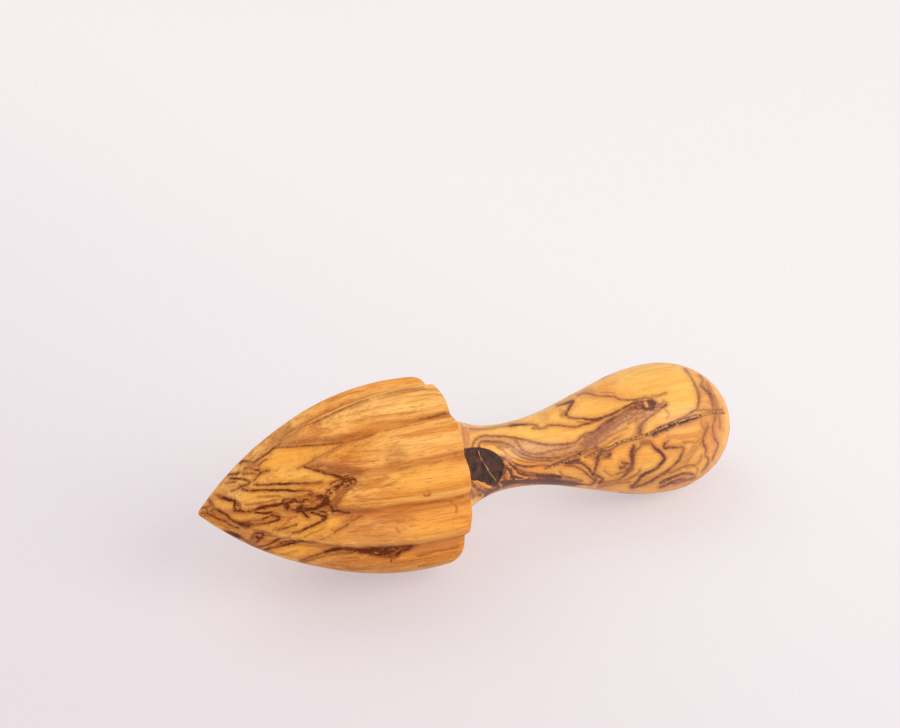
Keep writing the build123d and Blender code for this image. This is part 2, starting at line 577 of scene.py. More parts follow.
HEAD_STROKES = (
    # Tip
    Stroke(1.8, 0.85, (202, 508, 207, 507, 210, 506, 211, 502, 209, 500)),
    Stroke(2.0, 0.9, (201, 513, 206, 513.5, 210, 515, 214, 516.5)),
    Stroke(1.8, 0.9, (206, 507, 207, 511, 209, 514, 213, 517, 218, 519, 224, 521, 229, 524, 233, 526, 238,
        528)),
    Stroke(2.0, 0.9, (210, 502, 213, 505, 213, 509, 211, 511)),
    Stroke(2.4, 0.95, (215, 509, 220, 511, 226, 515, 229, 518, 234, 521, 240, 524, 246, 526)),
    Stroke(3.2, 0.95, (224, 498, 231, 500.5, 235, 501, 235, 505, 235, 510.5, 240, 511, 248, 511.5, 254, 510,
        262, 507.5, 268, 506, 275, 505, 283, 503.5)),
    Stroke(2.6, 0.9, (255, 512.5, 262, 513.5, 268, 513, 272, 512)),
    Stroke(1.6, 0.75, (258, 509, 266, 508.5, 272, 506.5, 279, 505)),
    Stroke(2.0, 0.9, (254, 521, 261, 520, 266, 517.5, 272, 515, 276, 516, 280, 518, 278, 520, 272, 522, 265,
        523.5, 256, 524.5)),
    Stroke(1.4, 0.5, (273, 517, 277, 518, 275, 520)),
    Stroke(1.4, 0.6, (203, 511, 207, 513, 211, 512, 215, 515)),
    Stroke(2.4, 0.75, (236.4, 507, 238.4, 508.6), Tone.GOLD),
    Stroke(1.6, 0.6, (262, 515.6, 270, 515.4), Tone.GOLD),
    # Far side of the nose
    Stroke(2.0, 0.85, (229, 475, 233, 474.5, 237, 474, 239, 472.5)),
    Stroke(2.2, 0.85, (230, 478.5, 238, 479, 245, 479.5, 249, 481, 250, 483, 247, 485, 240, 486.5)),
    Stroke(2.0, 0.8, (245, 469, 247, 467.5, 251, 469, 256, 470, 260, 470)),
    Stroke(1.6, 0.7, (254, 480, 258, 476, 262, 472, 269, 470.5)),
    Stroke(1.8, 0.75, (254, 462, 258, 459.5, 263, 456, 268, 453, 273, 449)),
    Stroke(1.8, 0.75, (240, 463, 243, 461, 250, 462, 255, 462.5)),
    Stroke(1.8, 0.7, (228, 483, 235, 482)),
    Stroke(1.8, 0.7, (232, 491, 237, 489, 242, 486.5)),
    Stroke(1.6, 0.7, (243, 474, 250, 473.5, 256, 474)),
    Stroke(1.5, 0.6, (258, 466, 262, 462, 267, 459)),
    # Long lines of the nose
    Stroke(2.2, 0.85, (254, 484.5, 265, 485, 275, 484, 285, 484, 297, 483.5, 310, 483, 322, 482.5)),
    Stroke(2.4, 0.95, (243, 489, 247, 490.5, 252, 491, 262, 490, 275, 490, 288, 490.5, 295, 491, 302, 490.5,
        308, 491, 312, 493, 310, 496, 315, 496.5, 322, 495.5)),
    Stroke(1.3, 0.5, (245, 505, 255, 504, 265, 502, 275, 500)),
    Stroke(1.4, 0.5, (258, 497, 268, 496.5, 280, 496)),
    # Lower side of the nose
    Stroke(2.0, 0.9, (255, 533, 260, 533.5, 263, 533, 262, 537, 259, 540, 256, 543, 252, 545)),
    Stroke(1.8, 0.8, (255, 534, 252, 537, 250, 541, 252, 545)),
    Stroke(2.0, 0.9, (257, 536.5, 258, 538)),
    Stroke(2.4, 0.9, (257, 547, 264, 546, 270, 544, 275, 541, 279, 539)),
    Stroke(1.3, 0.6, (262, 535, 268, 536, 276, 536)),
    Stroke(1.3, 0.5, (280, 539, 285, 538, 290, 538)),
    Stroke(2.6, 0.95, (265, 549.5, 272, 548, 279, 546, 285, 545, 290, 543.5, 296, 542, 302, 541)),
    Stroke(2.0, 0.85, (276, 545, 282, 542.5, 288, 541, 296, 541)),
    Stroke(1.8, 0.8, (278, 530, 284, 528.5, 290, 526.5, 296, 524.5)),
    Stroke(3.0, 0.55, (273, 530, 279, 528, 283, 526, 287, 522, 290, 519, 296, 517), Tone.UMBER),
    Stroke(1.4, 0.5, (253, 530, 260, 531, 267, 533, 272, 534)),
    Stroke(1.6, 0.5, (280, 555, 286, 554, 292, 552, 298, 551), Tone.UMBER),
    Stroke(2.4, 0.8, (242, 538, 247, 541, 252, 545, 258, 548)),
    Stroke(1.8, 0.6, (285, 533, 293, 531.5, 300, 531), Tone.UMBER),
    # Burl in the middle of the head
    Stroke(2.4, 0.9, (283, 504, 290, 502, 297, 502, 303, 500, 308, 500)),
    Stroke(3.2, 1.0, (297, 511.5, 305, 510.5, 311, 509, 318, 507.5, 324, 504.5, 329, 501)),
    Stroke(2.0, 0.85, (303, 511, 305, 515, 308, 517)),
    Stroke(2.0, 0.9, (311, 512, 316, 513.5, 320, 515, 325, 516.5, 327, 518, 324, 520, 318, 523, 312, 526,
        305, 529, 300, 531.5, 293, 533)),
    Stroke(2.2, 0.85, (308, 494, 313, 496, 320, 496)),
    Stroke(1.8, 0.8, (328, 496, 332, 492, 336, 489, 339, 487)),
    Stroke(1.6, 0.75, (330, 484, 336, 481, 343, 479, 350, 479.5, 356, 480.5)),
    Stroke(1.6, 0.7, (343, 495, 340, 498, 336, 503, 337, 508, 340, 511)),
    Stroke(2.0, 0.8, (328, 505, 332, 508, 330, 509.5)),
    Stroke(1.4, 0.6, (300, 506, 308, 505, 316, 503)),
    Stroke(3.4, 0.95, (333, 511, 338, 511, 343, 512, 349, 512.5)),
    Stroke(1.8, 0.8, (282, 501, 289.5, 499, 299.5, 501, 307, 502.5, 317, 500, 324.5, 495, 329.5, 490)),
    Stroke(1.8, 0.85, (284.5, 507.5, 292, 509, 299.5, 511, 307, 510, 316, 507.5, 324.5, 502.5, 328, 499)),
    Stroke(1.4, 0.75, (336, 487.5, 342, 481, 349.5, 477.5, 354.5, 479, 356, 482.5, 349.5, 489, 343, 496,
        337, 504)),
    Stroke(1.4, 0.75, (339.5, 486, 344.5, 482.5, 349.5, 481, 351, 485, 347, 489, 342, 490)),
    Stroke(1.4, 0.7, (342, 485, 347, 484, 348, 486, 344.5, 487.5)),
    Stroke(1.6, 0.75, (327, 490, 332, 487.5, 337, 486)),
    Stroke(1.4, 0.7, (328, 502.5, 333, 501, 339.5, 494, 347, 490, 352, 489)),
    Stroke(1.6, 0.7, (319.5, 511, 327, 514, 322, 519)),
    Stroke(2.6, 0.9, (298.5, 506, 300.5, 509)),
    Stroke(2.2, 0.85, (304, 508.5, 309, 510)),
    Stroke(3.0, 0.95, (325.5, 495, 328, 499, 327, 502)),
    Stroke(1.8, 0.8, (304.5, 503.5, 307, 502.5, 309.5, 504), Tone.GOLD),
    Stroke(1.4, 0.7, (292, 504.5, 296, 503.5), Tone.GOLD),
    Stroke(1.4, 0.7, (313, 504, 319, 502), Tone.GOLD),
    Stroke(1.6, 0.7, (331, 491, 335, 493, 331, 498), Tone.GOLD),
    Stroke(1.6, 0.6, (345, 495, 351, 490.5), Tone.GOLD),
    # Far valley: a dark line along the crease, partly figure and partly painted shade
    Stroke(2.4, 0.55, (300, 428.5, 312.5, 423, 340, 410.5, 370, 398.5, 395, 391.5, 423, 387), Tone.UMBER),
    # Edges of the tongues
    Stroke(2.2, 0.6, (280, 444, 276, 446.5, 272, 449.5, 276, 448, 283, 447.5, 290, 447, 300, 446.5, 310,
        445.5, 320, 445, 330, 444, 336, 443.5, 343, 442.5)),
    Stroke(1.8, 0.5, (297, 469, 303, 466, 308, 463, 315, 459, 322, 455, 330, 451, 337, 447, 343, 443.5, 350,
        441.5, 358, 439, 365, 437, 372, 435)),
    Stroke(1.6, 0.35, (313, 423.5, 318, 421, 325, 417.5, 330, 415, 335, 412.5, 340, 410.5, 345, 408.5, 352,
        405.5, 360, 402, 368, 400)),
    Stroke(2.0, 0.75, (304, 467, 312, 469, 318, 471, 325, 473, 333, 475, 340, 476.5, 348, 476)),
    Stroke(3.4, 0.8, (318, 471, 325, 473, 333, 475, 342, 477)),
    Stroke(2.2, 0.75, (361, 515.5, 355, 519, 350, 522.5, 345, 526, 340, 529, 335, 531.5)),
    Stroke(1.4, 0.5, (353, 516, 349, 519.5, 343, 523)),
    Stroke(2.4, 0.5, (335, 533, 330, 536, 325, 538, 318, 541), Tone.UMBER),
    Stroke(2.0, 0.7, (298, 540, 302, 541, 308, 542, 313, 542, 318, 543.5)),
    Stroke(1.3, 0.45, (320, 544, 330, 545, 340, 546)),
    Stroke(1.3, 0.4, (305, 537, 312, 533, 318, 531, 324, 528)),
    # Lowest seen crest and the dark valley above it: dark figure, with painted shadow in the valley
    Stroke(1.8, 0.8, (301, 560.5, 305, 559, 310, 557, 318, 554.5, 325, 552.5, 332, 550)),
    Stroke(3.2, 0.9, (325, 552.5, 332, 550, 340, 548.5, 350, 549)),
    Stroke(5.0, 1.0, (346, 549, 358, 550, 370, 551, 385, 551.5)),
    Stroke(1.5, 0.6, (303, 562, 313, 559, 320, 557, 328, 555, 340, 552.5, 352, 553.5)),
    Stroke(2.0, 0.55, (356, 556, 357, 560, 358, 563), Tone.UMBER),
    Stroke(2.4, 0.6, (347, 567, 349, 569), Tone.UMBER),
    Stroke(1.6, 0.5, (354, 566.5, 357, 566), Tone.UMBER),
    Stroke(2.0, 0.7, (391, 557, 391, 562)),
    Stroke(1.5, 0.55, (417, 556, 425, 554.5, 430, 553.2, 435, 551.5, 440, 550.5, 450, 549, 457, 547)),
    Stroke(1.4, 0.35, (418, 566, 426, 565, 434, 563)),
    Stroke(2.4, 1.0, (366, 550, 378, 549, 388, 548, 400, 547.5, 412, 546)),
    Stroke(1.8, 0.95, (370, 553, 380, 555, 390, 556.5, 398, 554, 405, 550.5)),
    Stroke(1.5, 0.9, (384, 551, 390, 553.5, 397, 551.5, 401, 549.5)),
    Stroke(2.2, 1.0, (388, 553, 391, 557)),
    Stroke(1.3, 0.8, (375, 552.5, 378, 553.5), Tone.GOLD),
    Stroke(1.3, 0.7, (388, 550, 395, 549.3), Tone.GOLD),
    # Quiet streaks of the outer wood
    Stroke(3.0, 0.45, (380, 508, 390, 507, 400, 505.5, 410, 504.5, 425, 503.5), Tone.UMBER),
    Stroke(2.8, 0.6, (428, 503.5, 440, 501, 450, 500, 458, 498, 463, 496.5), Tone.UMBER),
    Stroke(2.0, 0.8, (455, 505, 457, 508.5, 456, 512), Tone.UMBER),
    Stroke(2.0, 0.6, (450, 500, 452, 503), Tone.UMBER),
    Stroke(2.2, 0.55, (397, 522, 403, 521, 412, 519.5, 416, 519), Tone.UMBER),
    Stroke(1.6, 0.5, (410, 526, 415, 525), Tone.UMBER),
    Stroke(2.4, 0.5, (396, 528, 399, 532), Tone.UMBER),
    Stroke(1.6, 0.45, (399, 469.5, 405, 467.5, 410, 466.5), Tone.UMBER),
    Stroke(1.6, 0.4, (403, 476, 412, 473, 416, 471), Tone.UMBER),
    Stroke(2.0, 0.5, (430, 465, 436, 462.5, 441, 460.5), Tone.UMBER),
    Stroke(2.0, 0.5, (380, 488, 385, 486, 391, 483, 398, 480), Tone.UMBER),
    Stroke(2.6, 0.7, (424, 495, 428, 495.5, 430, 493.5), Tone.UMBER),
    Stroke(1.4, 0.4, (448, 450, 454, 451, 456, 454, 455, 457), Tone.UMBER),
    Stroke(1.8, 0.55, (399, 441, 395, 444, 391, 446), Tone.UMBER),
    Stroke(2.2, 0.5, (401, 415, 408, 413, 415, 411), Tone.UMBER),
    Stroke(1.5, 0.45, (410, 407.5, 417, 406, 424, 404), Tone.UMBER),
    Stroke(1.6, 0.4, (385, 430, 392, 429, 400, 427, 412, 425, 424, 423), Tone.UMBER),
    Stroke(1.5, 0.7, (428, 417.8, 433, 417, 438, 415.5, 445, 413.5)),
    Stroke(1.5, 0.4, (420, 419, 428, 418.3)),
    Stroke(1.5, 0.45, (436, 424, 442, 422.5, 448, 421.5, 454, 420), Tone.UMBER),
    Stroke(1.6, 0.4, (360, 464.5, 368, 462, 378, 460), Tone.UMBER),
)

HANDLE_PATCHES = (
    # Black of the dead knot, closed round behind the head's rim, and the scorched tones under it
    Patch(Tone.LINE, 2.4, 1.5, (463, 448.3, 468, 448, 476, 447.5, 484, 448.5, 492, 451, 498, 455, 502, 460,
        503, 466, 503, 474, 500, 480, 497, 486, 490, 484, 485, 480, 478, 478, 470, 477, 465, 474, 461, 469,
        458, 464, 456.5, 459.5, 456.3, 455.5, 457.5, 451.8, 460, 449.4)),
    Patch(Tone.UMBER, 4, 0.8, (466, 477, 478, 478, 490, 485, 497, 487, 505, 486, 490, 492, 474, 500, 466,
        500)),
    # Partly dark figure and partly painted shade along the underside of the neck
    Patch(Tone.LINE, 3, 1.1, (503, 480, 512, 476, 530, 476.5, 550, 478, 572, 481, 590, 485, 560, 486, 535,
        484, 512, 484, 503, 488)),
    Patch(Tone.UMBER, 4, 0.65, (502, 455, 512, 462, 524, 470, 545, 474, 572, 477, 575, 486, 540, 488, 500,
        490)),
    # Grey-brown body between the two long lines, and its dark head
    Patch(Tone.GOLD, 9, 0.75, (597, 449, 606, 438, 618, 429, 630, 423, 641, 420, 638, 430, 630, 438, 612,
        445)),
    Patch(Tone.ASH, 5, 0.62, (585, 436, 597, 430, 608, 421, 618, 415, 630, 408, 641, 403, 655, 400, 664,
        404, 655, 412, 646, 420, 641, 426, 640, 434, 620, 440, 600, 449, 585, 452, 580, 445)),
    Patch(Tone.LINE, 9, 0.38, (578, 444, 586, 435, 600, 427, 612, 419, 624, 414, 618, 424, 604, 434, 596, 446,
        586, 450)),
    Patch(Tone.LINE, 6, 0.4, (633, 436, 636, 424, 645, 418, 646, 428, 640, 440)),
    Patch(Tone.UMBER, 7, 0.4, (583, 438, 600, 429, 612, 419, 632, 408, 645, 404, 640, 412, 620, 423, 606,
        436, 590, 449, 578, 450)),
    Patch(Tone.LINE, 4, 0.65, (637, 425, 643, 420, 642, 430, 645, 440, 639, 440, 637, 432)),
    Patch(Tone.ASH, 5, 0.45, (480, 436, 500, 437, 525, 440, 560, 445, 582, 440, 586, 452, 560, 463, 535,
        462, 512, 452, 495, 444, 480, 442)),
    Patch(Tone.UMBER, 3, 0.8, (633, 406, 640, 402, 646, 400, 652, 400, 657, 402, 664, 404, 655, 411, 643,
        412, 634, 410)),
    Patch(Tone.LINE, 3, 0.8, (640, 402, 648, 399, 656, 400, 656, 407, 650, 411, 643, 410)),
    Patch(Tone.LINE, 2, 1.5, (650, 400.5, 655.5, 401, 655, 405, 651, 405.5)),
    Patch(Tone.UMBER, 3, 0.6, (662, 399, 669, 401, 668, 406, 661, 406)),
    Patch(Tone.UMBER, 4, 0.7, (559, 410, 567, 410, 568, 417, 560, 417)),
    Patch(Tone.ROSE, 4, 0.6, (582, 386, 592, 386, 594, 392, 582, 393)),
    Patch(Tone.ROSE, 5, 0.4, (538, 413, 547, 411, 551, 420, 547, 426, 539, 423)),
    # Shades round the check
    Patch(Tone.LINE, 3, 0.9, (561, 463.5, 570, 459.5, 581, 457, 580, 464, 570, 465)),
    Patch(Tone.LINE, 5, 0.5, (574, 450, 600, 446, 614, 449, 612, 457, 603, 460, 594, 461, 583, 456, 572,
        460)),
    Patch(Tone.UMBER, 3, 0.55, (600, 454, 612, 452, 612, 459, 603, 461)),
    Patch(Tone.LINE, 3, 0.75, (641, 440, 651, 440, 651, 445, 643, 446)),
    # Bulb
    Patch(Tone.UMBER, 5, 0.5, (660, 486, 667, 478, 680, 474, 696, 474, 686, 480, 672, 485)),
    Patch(Tone.ROSE, 8, 0.6, (697, 384, 706, 380, 722, 400, 725, 430, 714, 450, 706, 455, 704, 430, 700,
        408)),
    Patch(Tone.ROSE, 5, 0.6, (461, 425, 475, 427, 490, 429, 470, 434, 470, 447, 461, 447)),
    Patch(Tone.ROSE, 5, 0.35, (664, 444, 684, 442, 704, 446, 700, 462, 672, 462, 664, 450)),
)

HANDLE_STROKES = (
    # Rings at the joint with the head
    Stroke(2.0, 0.55, (460, 422, 463, 430, 464, 438, 464, 446), Tone.UMBER),
    Stroke(2.0, 0.45, (465, 428, 468, 433, 468, 441, 466, 448), Tone.UMBER),
    # Long line along the top of the neck
    Stroke(1.6, 0.5, (470, 429, 485, 429, 500, 427, 512, 425.5)),
    Stroke(2.0, 0.85, (510, 425.8, 520, 424.8, 530, 424.5, 536, 425.5, 538, 427.5)),
    Stroke(1.8, 0.75, (533, 428, 540, 428.5, 546, 427.5, 548, 425.5, 560, 425.5, 568, 426.5, 575, 427, 582,
        425.5, 590, 423, 598, 420.5)),
    # Bundle of lines that opens from the knot
    Stroke(1.8, 0.8, (472, 448, 474, 442, 477, 438.5, 481, 436.5, 486, 435.8, 495, 436.2, 505, 436.5, 515,
        438, 522, 439, 530, 441, 537, 443, 545, 444.5, 555, 444.7, 562, 444.5, 572, 443, 577, 441, 580, 438,
        584, 434.5, 590, 432.3, 597, 430, 603, 426, 608, 421, 613, 418, 618, 415, 624, 411, 630, 408, 636,
        405.5, 641, 403)),
    Stroke(1.8, 0.75, (479, 447, 480, 443, 485, 441.5, 495, 442, 502, 442.5, 508, 444.5, 513, 447, 518, 451,
        523, 454, 530, 456.5, 538, 458, 548, 458, 560, 457)),
    Stroke(1.3, 0.4, (484, 445, 490, 443.5, 500, 446, 507, 447)),
    Stroke(1.6, 0.7, (512, 450, 516, 454, 522, 457, 530, 459.5, 540, 460.5, 552, 461)),
    Stroke(1.6, 0.65, (516, 440, 520, 447, 523, 451, 528, 453, 535, 454, 543, 453, 550, 451, 560, 449.5,
        570, 447)),
    Stroke(2.0, 0.85, (505, 457, 510, 460, 515, 463.5, 520, 465, 526, 466.5, 533, 466.5, 540, 465.5, 548,
        465.5)),
    Stroke(1.4, 0.55, (497, 447, 503, 450, 508, 455, 516, 459, 526, 461.5, 536, 462.5)),
    Stroke(2.2, 0.85, (515, 468.5, 520, 470.5, 527, 472.5, 535, 473.5, 545, 474.5, 555, 475.5)),
    Stroke(1.4, 0.5, (548, 461.5, 556, 459.5, 564, 456.5, 572, 452.5)),
    # Flames beside the knot
    Stroke(2.0, 0.9, (503, 460, 505, 465, 505, 471, 504, 477, 504, 483)),
    Stroke(1.6, 0.85, (507, 466, 508, 472, 507, 478, 508, 484)),
    Stroke(1.6, 0.8, (511, 468, 512, 473, 511, 478)),
    Stroke(2.0, 0.9, (509, 463, 512, 467, 514, 471, 518, 474, 521, 475.5), Tone.GOLD),
    Stroke(1.8, 0.9, (508, 480, 514, 479, 520, 480, 528, 477), Tone.GOLD),
    Stroke(2.0, 0.9, (480, 480, 484, 484, 489, 486), Tone.GOLD),
    Stroke(2.0, 0.9, (472, 481, 476, 484, 480, 488, 484, 489), Tone.GOLD),
    Stroke(2.4, 0.9, (472, 485, 476, 490, 480, 495)),
    Stroke(2.2, 0.8, (478, 488, 486, 489, 494, 489)),
    Stroke(2.4, 1.25, (501, 457, 507.5, 461, 511, 465, 515, 468, 517.5, 472.5, 525, 475, 535, 475.5, 547.5,
        476, 560, 477)),
    Stroke(2.2, 1.25, (502, 461, 504, 466, 507.5, 468.5, 510, 472, 511, 475, 514, 479)),
    Stroke(3.8, 1.2, (502, 482, 514, 482, 525, 481, 537, 480.5, 550, 481, 560, 482, 572, 483.5)),
    Stroke(3.2, 1.3, (485, 480, 491, 484, 499, 486.5, 492.5, 491, 487, 494, 484, 499)),
    Stroke(2.2, 0.9, (470, 480, 475, 485, 480, 490, 486, 492.5)),
    Stroke(2.0, 0.8, (466, 484, 470, 490, 473, 496)),
    Stroke(1.6, 0.9, (474, 480.5, 479, 482, 484, 486, 491, 487.5), Tone.GOLD),
    Stroke(1.6, 0.85, (471, 486.5, 477, 492), Tone.GOLD),
    Stroke(1.5, 0.85, (507.5, 471, 508.5, 475, 508, 479), Tone.GOLD),
    Stroke(1.5, 0.85, (515.5, 471, 518, 475, 527, 477.5), Tone.GOLD),
    Stroke(1.2, 0.6, (530, 478, 545, 478.8), Tone.GOLD),
    # Island on the swell
    Stroke(2.4, 0.85, (557, 405.5, 563, 404, 570, 402, 573, 401, 570, 406, 568, 410, 566.5, 414, 569, 417,
        575, 418.5, 582, 418.5, 588, 419.5, 595, 419.5, 602, 418, 608, 415.5, 614, 413, 620, 410, 626, 407,
        632, 404, 638, 401.5, 642, 400.5)),
    Stroke(1.4, 0.5, (578, 422, 585, 423, 592, 422.5, 600, 421)),
    # Far side of the bulb
    Stroke(1.8, 0.75, (577, 395, 583, 393.5, 590, 394, 600, 396, 608, 396, 614, 397, 619, 399, 625, 400,
        632, 400, 637, 399.5, 643, 398, 648, 397.5, 652, 399)),
    Stroke(1.2, 0.35, (600, 392.5, 610, 392.5, 615, 393.5)),
    Stroke(1.4, 0.5, (652, 396, 657, 395.8, 662, 394, 666, 393)),
    # Grey body: its broad upper edge, its hatched lower end, and the lines inside it
    Stroke(4.2, 0.62, (584, 437, 597, 430.5, 608, 422, 618, 416, 630, 409, 641, 404)),
    Stroke(1.6, 0.6, (586, 446, 592, 440, 600, 433, 606, 428)),
    Stroke(1.6, 0.6, (590, 450, 597, 444, 604, 439, 612, 434)),
    Stroke(1.6, 0.55, (600, 449, 606, 445, 613, 440, 620, 436)),
    Stroke(1.4, 0.5, (612, 430, 618, 425, 625, 421, 632, 418)),
    Stroke(2.2, 0.75, (666, 405, 660, 409, 655, 413, 650, 417, 646, 420, 642, 425, 640, 432)),
    Stroke(1.5, 0.6, (622, 412, 630, 409, 636, 407, 643, 406)),
    Stroke(1.4, 0.5, (628, 424, 633, 421, 641, 418, 646, 416)),
    Stroke(1.4, 0.55, (630, 410, 636, 408, 643, 409, 648, 409.5)),
    Stroke(1.4, 0.5, (630, 416, 638, 414, 645, 413)),
    Stroke(2.4, 0.7, (641, 424, 640, 430, 643, 440, 648, 443)),
    Stroke(1.3, 0.45, (590, 440, 600, 434, 608, 428, 616, 421)),
    Stroke(1.3, 0.45, (598, 444, 608, 438, 618, 432, 628, 428)),
    Stroke(4.2, 1.0, (645.6, 403, 647, 406), Tone.GOLD),
    # Pits and dark edges of the check
    Stroke(3.2, 1.5, (653, 434.5, 656, 433.3)),
    Stroke(3.2, 1.5, (660, 431.5, 667, 428.8)),
    Stroke(3.0, 1.5, (668.5, 427, 674, 424.6)),
    Stroke(3.2, 1.5, (680, 423.5, 687, 420.8)),
    Stroke(3.0, 1.5, (690, 418.8, 696, 416.8)),
    Stroke(1.6, 0.75, (549, 466, 558, 462.5, 567, 458.5, 576, 454, 583, 450.5)),
    Stroke(2.0, 0.8, (657, 428, 665, 425, 675, 421, 685, 416.5, 690, 413, 695, 410.5)),
    Stroke(1.5, 0.65, (697, 411, 704, 410, 712, 410.5, 722, 410)),
    Stroke(2.0, 0.7, (646, 437, 656, 433, 664, 430, 672, 427, 680, 424.5, 690, 421.5, 700, 418)),
    Stroke(1.8, 0.6, (600, 453, 610, 450, 620, 444.5, 632, 440.5, 644, 437)),
    # Lower side of the swell
    Stroke(1.8, 0.75, (565, 465, 572, 466, 577, 467.5, 582, 470, 587, 474, 591, 477, 594, 480)),
    Stroke(1.5, 0.65, (560, 472, 563, 475, 568, 477, 575, 479, 582, 481)),
    Stroke(1.5, 0.65, (552, 475, 558, 478, 563, 480, 570, 481, 580, 481.5)),
    Stroke(2.4, 0.9, (600, 453, 598, 460, 597, 465, 595, 470, 594, 474, 598, 476, 603, 479, 599, 483)),
    Stroke(2.2, 0.8, (599, 483, 607, 482, 613, 481, 618, 480, 622, 477.5, 627, 473.5, 631, 470, 633, 466,
        632, 460, 630, 455)),
    Stroke(1.6, 0.7, (620, 469, 623, 467, 626, 465, 622, 463)),
    Stroke(1.6, 0.7, (616, 475, 619, 473, 623, 472, 628, 470)),
    Stroke(1.6, 0.65, (600, 486, 610, 484, 620, 483, 630, 482)),
    Stroke(1.4, 0.5, (604, 470, 608, 474, 613, 476)),
    # Big cell under the check
    Stroke(2.6, 0.9, (641, 443, 647, 441, 651, 443, 654, 447, 659, 451, 663, 455, 665, 458, 664, 461, 660,
        465, 657, 468, 651, 471.5, 645, 474, 641, 476.5, 639, 480, 635, 484, 631, 487)),
    Stroke(2.0, 0.8, (641, 443, 640, 447, 636, 451, 634, 456, 633, 462, 633, 468, 631, 471)),
    Stroke(1.8, 0.75, (668, 441, 664, 444, 664, 448, 670, 448, 678, 447.5, 683, 447, 683, 450, 681, 455,
        679, 460, 675, 464, 671, 468, 666, 472, 661, 475, 656, 478, 648, 482.5, 640, 485.5, 632, 488)),
    Stroke(4.0, 0.6, (684, 442, 692, 442, 698, 441.7, 705, 446.7), Tone.UMBER),
    Stroke(4.5, 0.6, (665, 443.5, 667, 447, 677, 447.5, 684, 448.5, 680, 458.5, 670, 468.5, 660, 475, 650,
        481.7, 633, 486.7), Tone.UMBER),
    Stroke(7, 0.4, (640, 482, 660, 477, 680, 466, 692, 452, 698, 440), Tone.UMBER),
    Stroke(6, 0.35, (668, 436, 684, 437, 700, 433, 706, 424), Tone.UMBER),
    Stroke(3.6, 0.55, (655, 480, 668, 473.5, 683, 468.5, 698, 463.5, 702, 455), Tone.UMBER),
    Stroke(2.4, 0.5, (640, 486.7, 653, 483.5, 666.7, 478.5), Tone.UMBER),
    Stroke(2.6, 0.8, (660, 483.5, 676.7, 475.5, 690, 473.5, 695, 476.7, 686.7, 480, 673, 483.5)),
    Stroke(4.6, 0.6, (707, 383, 710, 390, 715, 401.7, 716.7, 409), Tone.UMBER),
    Stroke(4.4, 0.85, (634, 446, 632, 452, 632.5, 460, 632, 466, 628, 470)),
    Stroke(1.6, 0.75, (621.7, 461.7, 627, 463.5, 631.7, 465)),
    Stroke(1.6, 0.75, (620, 466.7, 625, 468.3, 630, 468.3)),
    Stroke(4.0, 0.75, (595.5, 447, 598.5, 455, 597.5, 462)),
    Stroke(2.4, 0.8, (562, 462.5, 572, 462, 581.7, 463.5, 586.7, 466.7, 593, 475, 596, 480, 590, 485)),
    Stroke(1.8, 0.6, (598, 486.7, 610, 485, 623, 480.5, 630, 478.3, 638, 473, 640, 470)),
    Stroke(3.0, 0.45, (560, 425.5, 570, 426, 582, 424.5, 592, 421.5, 600, 419.5), Tone.UMBER),
    Stroke(2.2, 0.7, (708, 426, 705, 433, 703, 439, 704, 445, 706, 450, 705, 455, 708, 458, 708, 463, 706,
        467, 702, 472)),
    Stroke(2.0, 0.7, (715, 415, 715, 420, 713, 425, 713, 430, 714, 436, 716, 441, 718, 443, 717, 449, 714,
        455, 712, 460)),
    Stroke(1.6, 0.5, (718, 415, 720, 422, 720, 428)),
    Stroke(1.8, 0.5, (701, 418, 702, 425, 705, 430)),
    Stroke(1.4, 0.45, (670, 473, 677, 470, 685, 466, 692, 465, 697, 468, 697, 474)),
    Stroke(2.4, 0.85, (660, 487, 667, 484.5, 673, 482, 679, 480, 685, 479)),
    Stroke(3.0, 0.4, (663, 408, 667, 411, 669, 415, 667, 419), Tone.UMBER),
    # Lines round the end of the bulb
    Stroke(2.6, 0.6, (685, 369, 688, 373, 692, 379, 694.5, 384, 696.5, 388, 698, 393, 699, 400, 698, 406,
        697, 410)),
    Stroke(3.2, 0.6, (700, 375, 703, 380, 701, 385, 704, 388, 708, 392, 711, 397, 712, 402, 712.5, 407, 713,
        411)),
)


